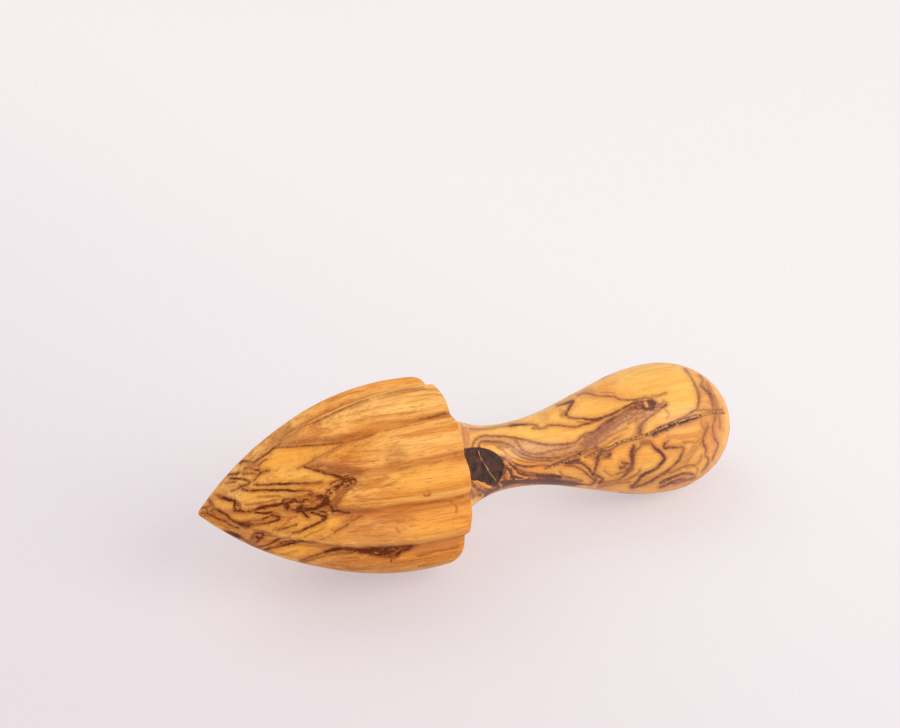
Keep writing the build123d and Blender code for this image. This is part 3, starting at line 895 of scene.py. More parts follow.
@dataclass(frozen=True)
class Figure:
    """The figure of one piece of wood: its strokes and patches as the photograph shows them.

    Waver, edges and reaches are in pixels of the photograph, and the lengths of waver and
    fading in millimetres.
    """

    strokes: tuple[Stroke, ...]
    patches: tuple[Patch, ...]
    waver: float = 0.5
    waver_length: float = 2.2
    thinness: float = 0.85
    soft_edge: float = 1.1
    swelling: float = 0.4
    fading: float = 0.45
    fading_length: float = 4.8
    # Mean strength of a fading line, and the least that stays of it
    faded_mean: float = 0.92
    faded_least: float = 0.4
    halo_reach: float = 4.2
    halo_strength: float = 0.5
    growth_reach: float = 12.0
    # Cosines of the angle of sight between which a point comes to count as seen
    seen_low: float = 0.04
    seen_high: float = 0.22

    def _wavering(self, places: np.ndarray, pixels: np.ndarray) -> np.ndarray:
        """Shift the pixel places a little, so that no line runs dead smooth.

        Args:
            places: Points in millimetres as rows.
            pixels: Their pixel coordinates as rows.

        Returns:
            The shifted pixel coordinates.
        """
        noise.seed_set(SEED)
        scaled = places / self.waver_length
        shifts = np.array([noise.noise_vector(Vector(point))[:2] for point in scaled])
        return pixels + self.waver * shifts

    def draw(self, mesh: bpy.types.Mesh, turning: TurningFrame, camera: PhotoCamera) -> None:
        """Store each tone, and how far the photograph shows each point, as attributes.

        Args:
            mesh: A mesh at its place in the row frame.
            turning: The turning frame.
            camera: The photograph's camera.
        """
        points = vertex_rows(mesh, "co")
        sight = np.array(camera.eye(turning.tip)) - points
        sight /= np.linalg.norm(sight, axis=1)[:, None]
        facing = np.einsum("ij,ij->i", vertex_rows(mesh, "normal"), sight)
        pixels = self._wavering(points / MM, camera.pixels(points, turning.tip))
        beats = np.array([noise.noise(Vector(place)) for place in points / (MM * self.fading_length)])
        tones = {tone: np.zeros(len(points)) for tone in Tone}
        growth = np.full(len(points), self.growth_reach)
        for patch in self.patches:
            tones[patch.tone] = np.maximum(tones[patch.tone], patch.cover(pixels))
        tones[Tone.ASH] *= 1 - tones[Tone.GOLD]
        for stroke in self.strokes:
            gaps = stroke.gaps(pixels, self.growth_reach)
            half = 0.5 * self.thinness * stroke.width * (1 + self.swelling * beats)
            cover = stroke.strength * smooth(gaps, half + self.soft_edge, half - self.soft_edge)
            tones[stroke.tone] = np.maximum(tones[stroke.tone], cover)
            if stroke.tone is Tone.GOLD:
                tones[Tone.LINE] *= 1 - cover
                tones[Tone.UMBER] *= 1 - cover
            if stroke.tone is Tone.LINE:
                growth = np.minimum(growth, gaps)
                halo = stroke.strength * self.halo_strength * smooth(gaps, half + self.halo_reach, half)
                tones[Tone.UMBER] = np.maximum(tones[Tone.UMBER], halo)
        tones[Tone.LINE] *= np.clip(self.faded_mean + self.fading * beats, self.faded_least, 1.0)
        store(mesh, {tone.value: shares for tone, shares in tones.items()})
        seen = smooth(facing, self.seen_low, self.seen_high)
        store(mesh, {GROWTH: growth / self.growth_reach, TRACED: seen})


@dataclass(frozen=True)
class Grain:
    """One noise of the wood: its sizes in millimetres, and the levels between which it shows.

    It runs its length along the axis, its width across the layers of growth and its depth
    along them, with some octaves of detail.
    """

    length: float
    width: float
    depth: float
    detail: float
    low: float = 0.0
    high: float = 1.0


@dataclass(frozen=True)
class OliveWood:
    """Olive wood, turned or carved, sanded and oiled: honey yellow with dark, wandering lines.

    The oil deepens the colours and leaves a satin sheen. The grain runs along the axis in
    fine streaks about a millimetre apart, with pores that are drawn coarser than real ones.
    """

    name: str
    pale: str
    deep: str
    streak: str
    gold: str = "#FFB446"
    rose: str = "#C4744A"
    umber: str = "#94491A"
    ash: str = "#B47C5C"
    line_pale: str = "#97501F"
    line_dark: str = "#5C240A"
    char: str = "#2A120A"
    speck_pale: str = "#E0B088"
    speck_dark: str = "#5E3420"
    broad: Grain = Grain(70.0, 5.5, 9.0, 3.0, 0.38, 0.62)
    streaks: Grain = Grain(46.0, 1.15, 2.2, 5.0, 0.44, 0.70)
    fibres: Grain = Grain(7.0, 0.34, 0.6, 3.0, 0.44, 0.70)
    pores: Grain = Grain(2.4, 0.28, 0.4, 2.0, 0.58, 0.72)
    veins: Grain = Grain(3.0, 1.6, 1.8, 3.0, 0.36, 0.62)
    specks: Grain = Grain(1.1, 0.7, 0.8, 3.0)
    # Growth rings of the hidden sides: how they drift, and where they open into lines
    ring_drift: Grain = Grain(30.0, 9.0, 11.0, 3.0)
    ring_gate: Grain = Grain(26.0, 11.0, 12.0, 2.0, 0.31, 0.44)
    ring_spacing: float = 3.9
    ring_wander: float = 17.0
    ring_centre: tuple[float, float, float] = (0.0, -7.0, 11.0)
    # The heart of the billet is figured out to this radius, give or take the softness
    figured_radius: float = 40.0
    figured_softness: float = 1.5
    # Faint layers beside the drawn lines: how many, and how strong the nearest is
    growth_layers: float = 2.6
    growth_share: float = 0.3
    # Strength of the painted shade along the valleys of the flutes
    painted_valley_shade_share: float = 0.5
    streak_share: float = 0.66
    fibre_share: float = 0.5
    vein_share: float = 0.5
    speck_share: float = 0.8
    # Curled lines inside the umber masses: their number, and their strength
    curl_count: float = 2.8
    curl_share: float = 0.75
    line_share: float = 1.15
    pore_darkness: float = 0.45
    pore_relief: float = -0.8
    relief: float = 0.00012
    relief_strength: float = 0.25
    roughness_low: float = 0.36
    roughness_high: float = 0.52
    sheen_level: float = 0.15
    refraction: float = 1.47

    def _noise(self, wires: Wiring, place: Socket, grain: Grain) -> Node:
        """Add noise that is stretched along the axis.

        Args:
            wires: The wiring of the material.
            place: Socket with the place in millimetres.
            grain: The noise's sizes.

        Returns:
            The noise node.
        """
        scaled = wires.vector("MULTIPLY", place, (1 / grain.length, 1 / grain.depth, 1 / grain.width))
        return add_node(wires.tree, "ShaderNodeTexNoise", None,
                        {"Vector": scaled, "Scale": 1.0, "Detail": grain.detail, "Roughness": 0.62})

    def _hidden_lines(self, wires: Wiring, place: Socket) -> Socket:
        """Add wandering growth layers for the sides that the photograph doesn't show.

        Args:
            wires: The wiring of the material.
            place: Socket with the place in millimetres.

        Returns:
            Socket with the layers, which rise to one along the middle of each dark line.
        """
        drift = self._noise(wires, place, self.ring_drift).outputs["Color"]
        centred = wires.vector("SUBTRACT", drift, (0.5, 0.5, 0.5))
        wandered = wires.vector("MULTIPLY_ADD", centred, (0.0, self.ring_wander, self.ring_wander), place)
        pith = wires.vector("MULTIPLY_ADD", wandered, (0.0, 1.0, 1.0), self.ring_centre)
        rings = wires.calc("DIVIDE", wires.vector("LENGTH", pith), self.ring_spacing)
        layers = self._fold(wires, rings, 0.0, 0.5)
        gate = self._noise(wires, place, self.ring_gate).outputs["Fac"]
        opened = wires.ranged(gate, self.ring_gate.low, self.ring_gate.high, eased=True)
        radius = wires.vector("LENGTH", wires.vector("MULTIPLY", place, (0.0, 1.0, 1.0)))
        heart = wires.ranged(radius, self.figured_radius + self.figured_softness,
                             self.figured_radius - self.figured_softness, eased=True)
        return wires.calc("MULTIPLY", wires.calc("MULTIPLY", layers, opened), heart)

    def _fold(self, wires: Wiring, value: Socket, low: float, high: float) -> Socket:
        """Turn a rising value into one soft line for each whole step of it.

        Args:
            wires: The wiring of the material.
            value: Socket with the rising value.
            low: Fold at which the line begins, up to a half.
            high: Fold at which it is full.

        Returns:
            Socket with the strength of the lines.
        """
        return wires.ranged(wires.calc("PINGPONG", value, 0.5), low, high, eased=True)

    def _ground(self, wires: Wiring, place: Socket, broad: Socket, streaks: Socket) -> Socket:
        """Honey-coloured ground, with streaks, fibres and painted shade in the valleys.

        Args:
            wires: The wiring of the material.
            place: Socket with the place in millimetres.
            broad: The noise of the broad bands.
            streaks: The noise of the streaks.

        Returns:
            Socket with the colour.
        """
        fibres = self._noise(wires, place, self.fibres).outputs["Fac"]
        colour = wires.mixed(wires.ranged(broad, self.broad.low, self.broad.high), self.pale, self.deep)
        for share in (
            wires.ranged(streaks, self.streaks.low, self.streaks.high, top=self.streak_share, eased=True),
            wires.ranged(fibres, self.fibres.low, self.fibres.high, top=self.fibre_share),
            # The last share is painted shade along the valleys of the flutes
            wires.calc("MULTIPLY", wires.marked(VALLEY), self.painted_valley_shade_share),
        ):
            colour = wires.mixed(share, colour, self.streak)
        return colour

    def _tones(self, wires: Wiring, place: Socket, traced: Socket) -> dict[Tone, Socket]:
        """The drawn tones where the photograph shows the wood, and growth layers elsewhere.

        Args:
            wires: The wiring of the material.
            place: Socket with the place in millimetres.
            traced: How far the photograph shows the place.

        Returns:
            Socket with the strength of each tone.
        """
        hidden = self._hidden_lines(wires, place)
        hidden_share = wires.ranged(traced, 0.0, 1.0, 1.0, 0.0)
        tones = {tone: wires.calc("MULTIPLY", wires.marked(tone.value), traced) for tone in Tone}
        # Each tone of the layers, the heights between which it shows, and its strength
        for tone, low, high, most in ((Tone.LINE, 0.85, 0.985, 0.95), (Tone.UMBER, 0.35, 1.0, 0.6)):
            layer = wires.ranged(hidden, low, high, top=most, eased=True)
            tones[tone] = wires.calc("MAXIMUM", wires.calc("MULTIPLY", layer, hidden_share), tones[tone])
        return tones

    def _stained(self, wires: Wiring, place: Socket, colour: Socket, tones: dict[Tone, Socket],
                 swirl: Socket) -> Socket:
        """Lay the soft tones over the ground, veined, with specks in the ash.

        Args:
            wires: The wiring of the material.
            place: Socket with the place in millimetres.
            colour: The ground.
            tones: The strength of each tone.
            swirl: The noise of the veins.

        Returns:
            Socket with the colour.
        """
        veined = wires.ranged(swirl, self.veins.low, self.veins.high, 1.0, self.vein_share)
        for tone, hue in ((Tone.ROSE, self.rose), (Tone.ASH, self.ash), (Tone.GOLD, self.gold),
                          (Tone.UMBER, self.umber)):
            share = wires.calc("MULTIPLY", tones[tone], 1.0 if tone is Tone.ASH else veined)
            colour = wires.mixed(share, colour, hue)
        specks = self._noise(wires, place, self.specks).outputs["Fac"]
        # Pale specks lie in the low places of the noise, dark ones in the high places
        for low, high, hue in ((0.48, 0.36, self.speck_pale), (0.53, 0.64, self.speck_dark)):
            spots = wires.ranged(specks, low, high, top=self.speck_share)
            colour = wires.mixed(wires.calc("MULTIPLY", tones[Tone.ASH], spots), colour, hue)
        return colour

    def _lined(self, wires: Wiring, colour: Socket, tones: dict[Tone, Socket], swirl: Socket) -> Socket:
        """Lay the dark lines over the wood, curled inside the umber, and char where they are overfull.

        Args:
            wires: The wiring of the material.
            colour: The wood so far.
            tones: The strength of each tone.
            swirl: The noise that the curls follow.

        Returns:
            Socket with the colour.
        """
        curl = self._fold(wires, wires.calc("MULTIPLY", swirl, self.curl_count), 0.24, 0.46)
        curled = wires.calc("MULTIPLY", curl, tones[Tone.UMBER])
        line = wires.calc("MULTIPLY_ADD", curled, self.curl_share, tones[Tone.LINE], clamp=True)
        hue = wires.mixed(wires.ranged(line, 0.45, 1.05), self.line_pale, self.line_dark)
        colour = wires.mixed(wires.calc("MULTIPLY", line, self.line_share, clamp=True), colour, hue)
        return wires.mixed(wires.ranged(tones[Tone.LINE], 1.0, 1.5), colour, self.char)

    def material(self, turning: TurningFrame) -> bpy.types.Material:
        """Build the material.

        Args:
            turning: The turning frame, which the grain follows.

        Returns:
            The material.
        """
        made, wires = start_material(self.name)
        texture = add_node(wires.tree, "ShaderNodeTexCoord")
        place = add_node(wires.tree, "ShaderNodeMapping", {"vector_type": "TEXTURE"},
                         {"Vector": texture.outputs["Object"], "Location": turning.tip,
                          "Rotation": (0.0, turning.tilt, 0.0), "Scale": (MM, MM, MM)}).outputs[0]
        broad, streaks, swirl, pores = (self._noise(wires, place, grain).outputs["Fac"] for grain in
                                        (self.broad, self.streaks, self.veins, self.pores))
        traced = wires.marked(TRACED)
        tones = self._tones(wires, place, traced)
        colour = self._ground(wires, place, broad, streaks)
        colour = self._stained(wires, place, colour, tones, swirl)

        growth = wires.marked(GROWTH)
        steps = wires.calc("MULTIPLY_ADD", growth, self.growth_layers, broad)
        fade = wires.ranged(growth, 0.5, 0.05, top=self.growth_share, eased=True)
        layer = wires.calc("MULTIPLY", self._fold(wires, steps, 0.10, 0.50), fade)
        colour = wires.mixed(wires.calc("MULTIPLY", layer, traced), colour, self.umber)

        colour = self._lined(wires, colour, tones, swirl)
        pore = wires.ranged(pores, self.pores.low, self.pores.high, top=self.pore_darkness, eased=True)
        relief = wires.calc("MULTIPLY_ADD", pore, self.pore_relief, streaks)
        fill(shader_of(made), {
            "Base Color": wires.mixed(pore, colour, self.umber),
            "Roughness": wires.ranged(streaks, 0.3, 0.7, self.roughness_low, self.roughness_high),
            "Normal": wires.bump(relief, self.relief_strength, self.relief),
            "IOR": self.refraction,
            "Specular IOR Level": self.sheen_level,
        })
        return made


@dataclass(frozen=True)
class KnotWood:
    """Dead knot, sanded flush with the wood round it: charred black-brown, cracked and dull."""

    name: str = "dead_olive_knot_sanded"
    dark: str = "#20110C"
    pale: str = "#5E3C30"
    patch_size: float = 1.6
    crack_size: float = 0.9
    crack_depth: float = 0.0001

    def material(self) -> bpy.types.Material:
        """Build the material.

        Returns:
            The material.
        """
        made, wires = start_material(self.name)
        place = add_node(wires.tree, "ShaderNodeTexCoord").outputs["Object"]
        mottle = add_node(wires.tree, "ShaderNodeTexNoise", None,
                          {"Vector": place, "Scale": 1 / (self.patch_size * MM), "Detail": 5.0,
                           "Roughness": 0.65, "Distortion": 0.6}).outputs["Fac"]
        cracks = add_node(wires.tree, "ShaderNodeTexVoronoi", {"feature": "DISTANCE_TO_EDGE"},
                          {"Vector": place, "Scale": 1 / (self.crack_size * MM)}).outputs["Distance"]
        fill(shader_of(made), {
            "Base Color": wires.mixed(wires.ranged(mottle, 0.35, 0.68), self.dark, self.pale),
            "Normal": wires.bump(cracks, 0.3, self.crack_depth),
            "Roughness": 0.48,
            "Specular IOR Level": 0.25,
            "IOR": 1.5,
        })
        return made


@dataclass(frozen=True)
class CheckFiller:
    """Wood dust bound with glue, pressed into a check and sanded: pale, matt, with dark pits."""

    name: str = "wood_dust_filler_sanded"
    pale: str = "#D2A06A"
    tan: str = "#96602F"
    pit: str = "#1E0F08"
    crumb_size: float = 0.5
    crumb_height: float = 0.00015

    def material(self) -> bpy.types.Material:
        """Build the material.

        Returns:
            The material.
        """
        made, wires = start_material(self.name)
        place = add_node(wires.tree, "ShaderNodeTexCoord").outputs["Object"]
        crumbs = add_node(wires.tree, "ShaderNodeTexNoise", None,
                          {"Vector": place, "Scale": 1 / (self.crumb_size * MM), "Detail": 4.0,
                           "Roughness": 0.6}).outputs["Fac"]
        dust = wires.mixed(wires.ranged(crumbs, 0.4, 0.64), self.pale, self.tan)
        fill(shader_of(made), {
            "Base Color": wires.mixed(wires.marked(PIT), dust, self.pit),
            "Normal": wires.bump(crumbs, 0.5, self.crumb_height),
            "Roughness": 0.7,
            "IOR": 1.5,
        })
        return made


@dataclass(frozen=True)
class Arc:
    """An arc of a half section, above its centre for a swelling and below it for a hollow."""

    station: float
    height: float
    radius: float
    hollow: bool = False

    def at(self, stations: np.ndarray) -> np.ndarray:
        """Find the arc's radius from the axis.

        Args:
            stations: Stations along the axis.

        Returns:
            The radii.
        """
        rise = np.sqrt(np.maximum(self.radius ** 2 - (stations - self.station) ** 2, 0))
        return self.height - rise if self.hollow else self.height + rise


def turned_mesh(name: str, rings: np.ndarray, angles: np.ndarray) -> bpy.types.Mesh:
    """Make a closed turned mesh, with a pole on the axis at each end.

    Args:
        name: Name of the mesh.
        rings: Rows of station and radius, from pole to pole.
        angles: Angles round the axis in radians, from up towards the near side.

    Returns:
        The mesh in millimetres of the turning frame.
    """
    inner = rings[1:-1]
    count, columns = len(inner), len(angles)
    stations = np.repeat(inner[:, 0], columns)
    radii = np.repeat(inner[:, 1], columns)
    turns = np.tile(angles, count)
    body = np.column_stack((stations, -radii * np.sin(turns), radii * np.cos(turns)))
    ends = np.array([(rings[0, 0], 0, 0), (rings[-1, 0], 0, 0)])
    grid = np.arange(count * columns).reshape(count, columns)
    beside = np.roll(grid, -1, axis=1)
    quads = np.stack((grid[:-1], beside[:-1], beside[1:], grid[1:]), axis=-1).reshape(-1, 4)
    first, last = count * columns, count * columns + 1
    faces = quads.tolist()
    faces += [(first, int(b), int(a)) for a, b in zip(grid[0], beside[0])]
    faces += [(int(a), int(b), last) for a, b in zip(grid[-1], beside[-1])]
    mesh = bpy.data.meshes.new(name)
    mesh.from_pydata(np.vstack((body, ends)).tolist(), [], faces)
    return mesh


def seen_angles(seen_step: float, unseen_step: float) -> np.ndarray:
    """Angles round the axis, closer together on the side that the photograph shows.

    Args:
        seen_step: Step in degrees on that side.
        unseen_step: Step in degrees on the other side.

    Returns:
        The angles in radians.
    """
    seen = np.arange(-45.0, 150.0, seen_step)
    unseen = np.arange(150.0, 315.0, unseen_step)
    return np.radians(np.concatenate((seen, unseen)))


def finished(name: str, mesh: bpy.types.Mesh, node: str, material: bpy.types.Material,
             turning: TurningFrame) -> bpy.types.Object:
    """Put a mesh at its place as a finished piece that rides on the root and replaces a node.

    Args:
        name: Name of the piece.
        mesh: Its mesh in millimetres of the turning frame.
        node: The CAD node that it stands for.
        material: Its material.
        turning: The turning frame.

    Returns:
        The piece.
    """
    mesh.transform(turning.matrix())
    mesh.polygons.foreach_set("use_smooth", [True] * len(mesh.polygons))
    mesh.update()
    mesh.materials.clear()
    mesh.materials.append(material)
    piece = bpy.data.objects.new(name, mesh)
    bpy.context.scene.collection.objects.link(piece)
    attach(piece, "root")
    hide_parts(node)
    LOG.info("%s: %d faces", name, len(mesh.polygons))
    return piece


def grown(name: str, mesh: bpy.types.Mesh, tree: Tree, values: dict[str, object]) -> bpy.types.Mesh:
    """Run a geometry node tree over a mesh and return the plain result.

    Args:
        name: Name of the new mesh.
        mesh: The mesh that the tree starts from.
        tree: The geometry node tree.
        values: Values of the tree's inputs by their names.

    Returns:
        The new mesh.
    """
    holder = bpy.data.objects.new(name, mesh)
    bpy.context.scene.collection.objects.link(holder)
    modifier = holder.modifiers.new(name, "NODES")
    modifier.node_group = tree
    for item in tree.interface.items_tree:
        if item.name in values:
            modifier[item.identifier] = values[item.name]
    graph = bpy.context.evaluated_depsgraph_get()
    result = bpy.data.meshes.new_from_object(holder.evaluated_get(graph), depsgraph=graph)
    result.name = name
    bpy.data.objects.remove(holder)
    return result


def node_tree(name: str, floats: tuple[str, ...]) -> tuple[Wiring, dict[str, Socket]]:
    """Start a geometry node tree that takes a geometry, some sizes and a material.

    Args:
        name: Name of the tree.
        floats: Names of the sizes.

    Returns:
        The tree's wiring and its inputs by name.
    """
    tree = bpy.data.node_groups.new(name, "GeometryNodeTree")
    tree.interface.new_socket("Geometry", in_out="INPUT", socket_type="NodeSocketGeometry")
    for label in floats:
        tree.interface.new_socket(label, in_out="INPUT", socket_type="NodeSocketFloat")
    tree.interface.new_socket("Material", in_out="INPUT", socket_type="NodeSocketMaterial")
    tree.interface.new_socket("Geometry", in_out="OUTPUT", socket_type="NodeSocketGeometry")
    given = add_node(tree, "NodeGroupInput").outputs
    return Wiring(tree), {label: given[label] for label in ("Geometry", *floats, "Material")}


def close_tree(tree: Tree, geometry: Socket, material: Socket) -> None:
    """End a geometry node tree with realised instances and a material.

    Args:
        tree: The node tree.
        geometry: Socket with the finished geometry.
        material: Socket with the material.
    """
    real = add_node(tree, "GeometryNodeRealizeInstances", None, {"Geometry": geometry})
    dressed = add_node(tree, "GeometryNodeSetMaterial", None,
                       {"Geometry": real.outputs[0], "Material": material})
    add_node(tree, "NodeGroupOutput", None, {0: dressed.outputs[0]})


@dataclass(frozen=True)
class ReamerHead:
    """The fluted head: a turned ogive with one V-shaped flute for each valley."""

    length: float = 63.0
    widest_station: float = 55.0
    widest_radius: float = 24.8
    belly: Arc = Arc(55.0, -42.66, 67.46)
    nose: Arc = Arc(62.55, -62.78, 88.95)
    heel: Arc = Arc(55.0, -55.4, 80.2)
    shoulder_station: float = 31.3
    blunt_station: float = 0.55
    rim_rounding: float = 1.6
    foot_radius: float = 16.8
    mortise_radius: float = 6.1
    mortise_station: float = 38.0
    valley: Arc = Arc(56.35, -66.25, 88.0)
    flute_angle: float = 132.0
    valley_angles: tuple[float, ...] = (
        -21.0, 16.0, 47.0, 74.0, 107.5, 147.0, 180.0, 213.0, 244.0, 275.0, 306.0,
    )
    crest_rounding: float = 1.0
    unevenness: float = 0.16
    # Painted shade darkens the valleys over these stations, and this far to each side in radians
    shade_start: float = 16.0
    shade_full: float = 34.0
    shade_width: float = 0.11
    # Size of the unevenness along the axis and across it, as waves per millimetre
    wave_scale: tuple[float, float, float] = (0.045, 0.11, 0.11)
    # The tip's blunt end, as stations and radii
    tip_rings: tuple[tuple[float, float], ...] = ((0.0, 0.0), (0.06, 0.42), (0.24, 0.76))
    # Distance between points on the seen side, and degrees between them on the other
    spacing: float = 0.31
    unseen_step: float = 2.2

    def rings(self) -> np.ndarray:
        """Half section of the blank, from the tip round the back into the mortise.

        Returns:
            Rows of station and radius.
        """
        fine = np.arange(self.blunt_station, self.length - self.rim_rounding, self.spacing)
        radii = np.where(fine < self.shoulder_station, self.nose.at(fine),
                         np.where(fine < self.widest_station, self.belly.at(fine), self.heel.at(fine)))
        turn = np.radians(np.linspace(0, 90, 8))
        rim_radius = float(self.heel.at(np.array(self.length)))
        middle = rim_radius - self.rim_rounding
        rim = np.column_stack((self.length - self.rim_rounding * (1 - np.sin(turn)),
                               middle + self.rim_rounding * np.cos(turn)))
        back = [(self.length, radius) for radius in np.linspace(middle, self.foot_radius, 10)[1:]]
        mortise = [(self.length, self.mortise_radius), (self.mortise_station, self.mortise_radius),
                   (self.mortise_station, 0.0)]
        return np.array([*self.tip_rings, *zip(fine, radii), *rim, *back, *mortise], float)

    def blank(self, rings: np.ndarray, angles: np.ndarray) -> bpy.types.Mesh:
        """Turn the blank and mark on it what the flute cutter has to know, and the painted shade of the
        valleys.

        Args:
            rings: Rows of station and radius.
            angles: Angles round the axis in radians.

        Returns:
            The blank, in millimetres of the turning frame.
        """
        mesh = turned_mesh("reamer_head_blank", rings, angles)
        inner = rings[1:-1]
        valleys = np.radians(self.valley_angles)
        turns = angles[:, None] - valleys[None, :]
        turns = (turns + np.pi) % (2 * np.pi) - np.pi
        nearest = np.abs(turns).min(axis=1)
        rim_radius = float(self.heel.at(np.array(self.length)))
        behind = inner[:, 0] > self.length - 1e-6
        skin = np.where(behind, rim_radius, inner[:, 1])
        follow = smooth(inner[:, 1], self.foot_radius, self.foot_radius + 1.0)
        follow = np.where(behind | (inner[:, 1] < self.mortise_radius + 0.01), follow, 1.0)
        follow = np.where(inner[:, 0] < self.foot_radius, 1.0, follow)
        columns = len(angles)
        # Painted shade in the valleys, which grows from nothing at the nose towards the back
        along = smooth(inner[:, 0], self.shade_start, self.shade_full)
        shade = along[:, None] * smooth(nearest, self.shade_width, 0.0)[None, :]
        marks = {
            VALLEY: shade.ravel(),
            "turn_from_valley": np.tile(nearest, len(inner)),
            "skin_radius": np.repeat(skin, columns),
            "follow": np.repeat(follow, columns),
        }
        # The two poles come last. Their radius may not be zero, because the cutter divides by it
        store(mesh, {name: np.append(values, [float(name == "skin_radius")] * 2)
                     for name, values in marks.items()})
        return mesh

    def flute_tree(self) -> Tree:
        """Build the nodes that cut the flutes and round the crests between them.

        Returns:
            The geometry node tree.
        """
        wires, given = node_tree("cut_flutes", (
            "Valley Arc Radius", "Valley Arc Station", "Valley Arc Height", "Flank Rise", "Crest Rounding",
            "Unevenness",
        ))
        tree, calc = wires.tree, wires.calc

        def mark(name: str) -> Socket:
            """Read one of the marks on the blank.

            Args:
                name: The mark's name.

            Returns:
                Socket with its value.
            """
            return add_node(tree, "GeometryNodeInputNamedAttribute", {"data_type": "FLOAT"},
                            {"Name": name}).outputs["Attribute"]

        def squared(value: Socket) -> Socket:
            """Multiply a value by itself.

            Args:
                value: The value.

            Returns:
                Socket with the square.
            """
            return calc("MULTIPLY", value, value)

        # A flank is a cone round the valley's arc. Its floor is the far root of a square equation
        position = add_node(tree, "GeometryNodeInputPosition").outputs[0]
        along, side, up = add_node(tree, "ShaderNodeSeparateXYZ", None, {0: position}).outputs
        turn, skin = mark("turn_from_valley"), mark("skin_radius")
        radius, height = given["Valley Arc Radius"], given["Valley Arc Height"]
        upright = calc("COSINE", turn)
        rise = calc("MULTIPLY", given["Flank Rise"], calc("SINE", turn))
        reach = calc("ADD", calc("MULTIPLY", upright, height), calc("MULTIPLY", radius, rise))
        spread = calc("SUBTRACT", squared(upright), squared(rise))
        back = calc("SUBTRACT", along, given["Valley Arc Station"])
        gap = calc("SUBTRACT", calc("ADD", calc("POWER", height, 2.0), squared(back)), squared(radius))
        root = calc("SQRT", calc("SUBTRACT", squared(reach), calc("MULTIPLY", spread, gap)))
        floor = calc("DIVIDE", calc("ADD", reach, root), spread)
        wave = add_node(tree, "ShaderNodeTexNoise", {"noise_dimensions": "3D"},
                        {"Vector": wires.vector("MULTIPLY", position, self.wave_scale), "Scale": 1.0,
                         "Detail": 2.0}).outputs[0]
        cut = calc("SUBTRACT", calc("SMOOTH_MIN", skin, floor, given["Crest Rounding"]),
                   calc("MULTIPLY", wave, given["Unevenness"]))
        change = calc("SUBTRACT", calc("DIVIDE", cut, skin), 1.0)
        scale = calc("ADD", calc("MULTIPLY", change, mark("follow")), 1.0)
        moved = add_node(tree, "ShaderNodeCombineXYZ", None,
                         {0: along, 1: calc("MULTIPLY", side, scale), 2: calc("MULTIPLY", up, scale)})
        placed = add_node(tree, "GeometryNodeSetPosition", None,
                          {"Geometry": given["Geometry"], "Position": moved.outputs[0]})
        close_tree(tree, placed.outputs[0], given["Material"])
        return tree

    def build(self, turning: TurningFrame, camera: PhotoCamera, finish: OliveWood) -> bpy.types.Object:
        """Turn, flute, place and dress the head.

        Args:
            turning: The turning frame.
            camera: The photograph's camera.
            finish: The head's wood.

        Returns:
            The finished piece.
        """
        material = finish.material(turning)
        angles = seen_angles(math.degrees(self.spacing / self.widest_radius), self.unseen_step)
        fluted = grown("reamer_head", self.blank(self.rings(), angles), self.flute_tree(), {
            "Valley Arc Radius": self.valley.radius,
            "Valley Arc Station": self.valley.station,
            "Valley Arc Height": self.valley.height,
            "Flank Rise": 1 / math.tan(math.radians(self.flute_angle / 2)),
            "Crest Rounding": self.crest_rounding,
            "Unevenness": self.unevenness,
            "Material": material,
        })
        piece = finished("olive_reamer_head", fluted, "reamer_head", material, turning)
        Figure(HEAD_STROKES, HEAD_PATCHES).draw(piece.data, turning, camera)
        return piece


@dataclass(frozen=True)
class HandleSkin:
    """Outside of the turned handle, from the flare at the head to the end of the bulb."""

    head_length: float = 63.0
    overall_length: float = 150.0
    neck_station: float = 83.0
    bulb_station: float = 129.6
    bulb_radius: float = 17.6
    cap_length: float = 20.4
    slope: float = 16.27
    flare: Arc = Arc(83.0, 36.92, 28.37, hollow=True)
    waist: Arc = Arc(83.0, 66.35, 57.8, hollow=True)
    crown: Arc = Arc(129.6, -33.7, 51.3)

    def radius(self, stations: np.ndarray) -> np.ndarray:
        """Radius of the skin at each station.

        Args:
            stations: Stations in millimetres.

        Returns:
            The radii.
        """
        tangent = math.tan(math.radians(self.slope))
        lean = math.sin(math.radians(self.slope))
        waist_end = self.neck_station + self.waist.radius * lean
        crown_start = self.bulb_station - self.crown.radius * lean
        straight = self.waist.at(np.array(waist_end)) + (stations - waist_end) * tangent
        share = np.clip((stations - self.bulb_station) / self.cap_length, 0, 1)
        cap = self.bulb_radius * np.sqrt(1 - share ** 2)
        return np.select(
            [stations < end for end in (self.neck_station, waist_end, crown_start, self.bulb_station)],
            [self.flare.at(stations), self.waist.at(stations), straight, self.crown.at(stations)],
            cap,
        )

    def point(self, station: float, side: float, angle: float, sink: float = 0.0) -> Vector:
        """A point of the skin beside an axis plane.

        Args:
            station: Its station.
            side: How far it lies from the plane, towards the near side.
            angle: The plane's angle in degrees.
            sink: Depth below the skin.

        Returns:
            The point in millimetres of the turning frame.
        """
        radius = float(self.radius(np.array(station))) - sink
        turn = math.radians(angle) + math.asin(max(-1.0, min(1.0, side / radius)))
        return Vector((station, -radius * math.sin(turn), radius * math.cos(turn)))


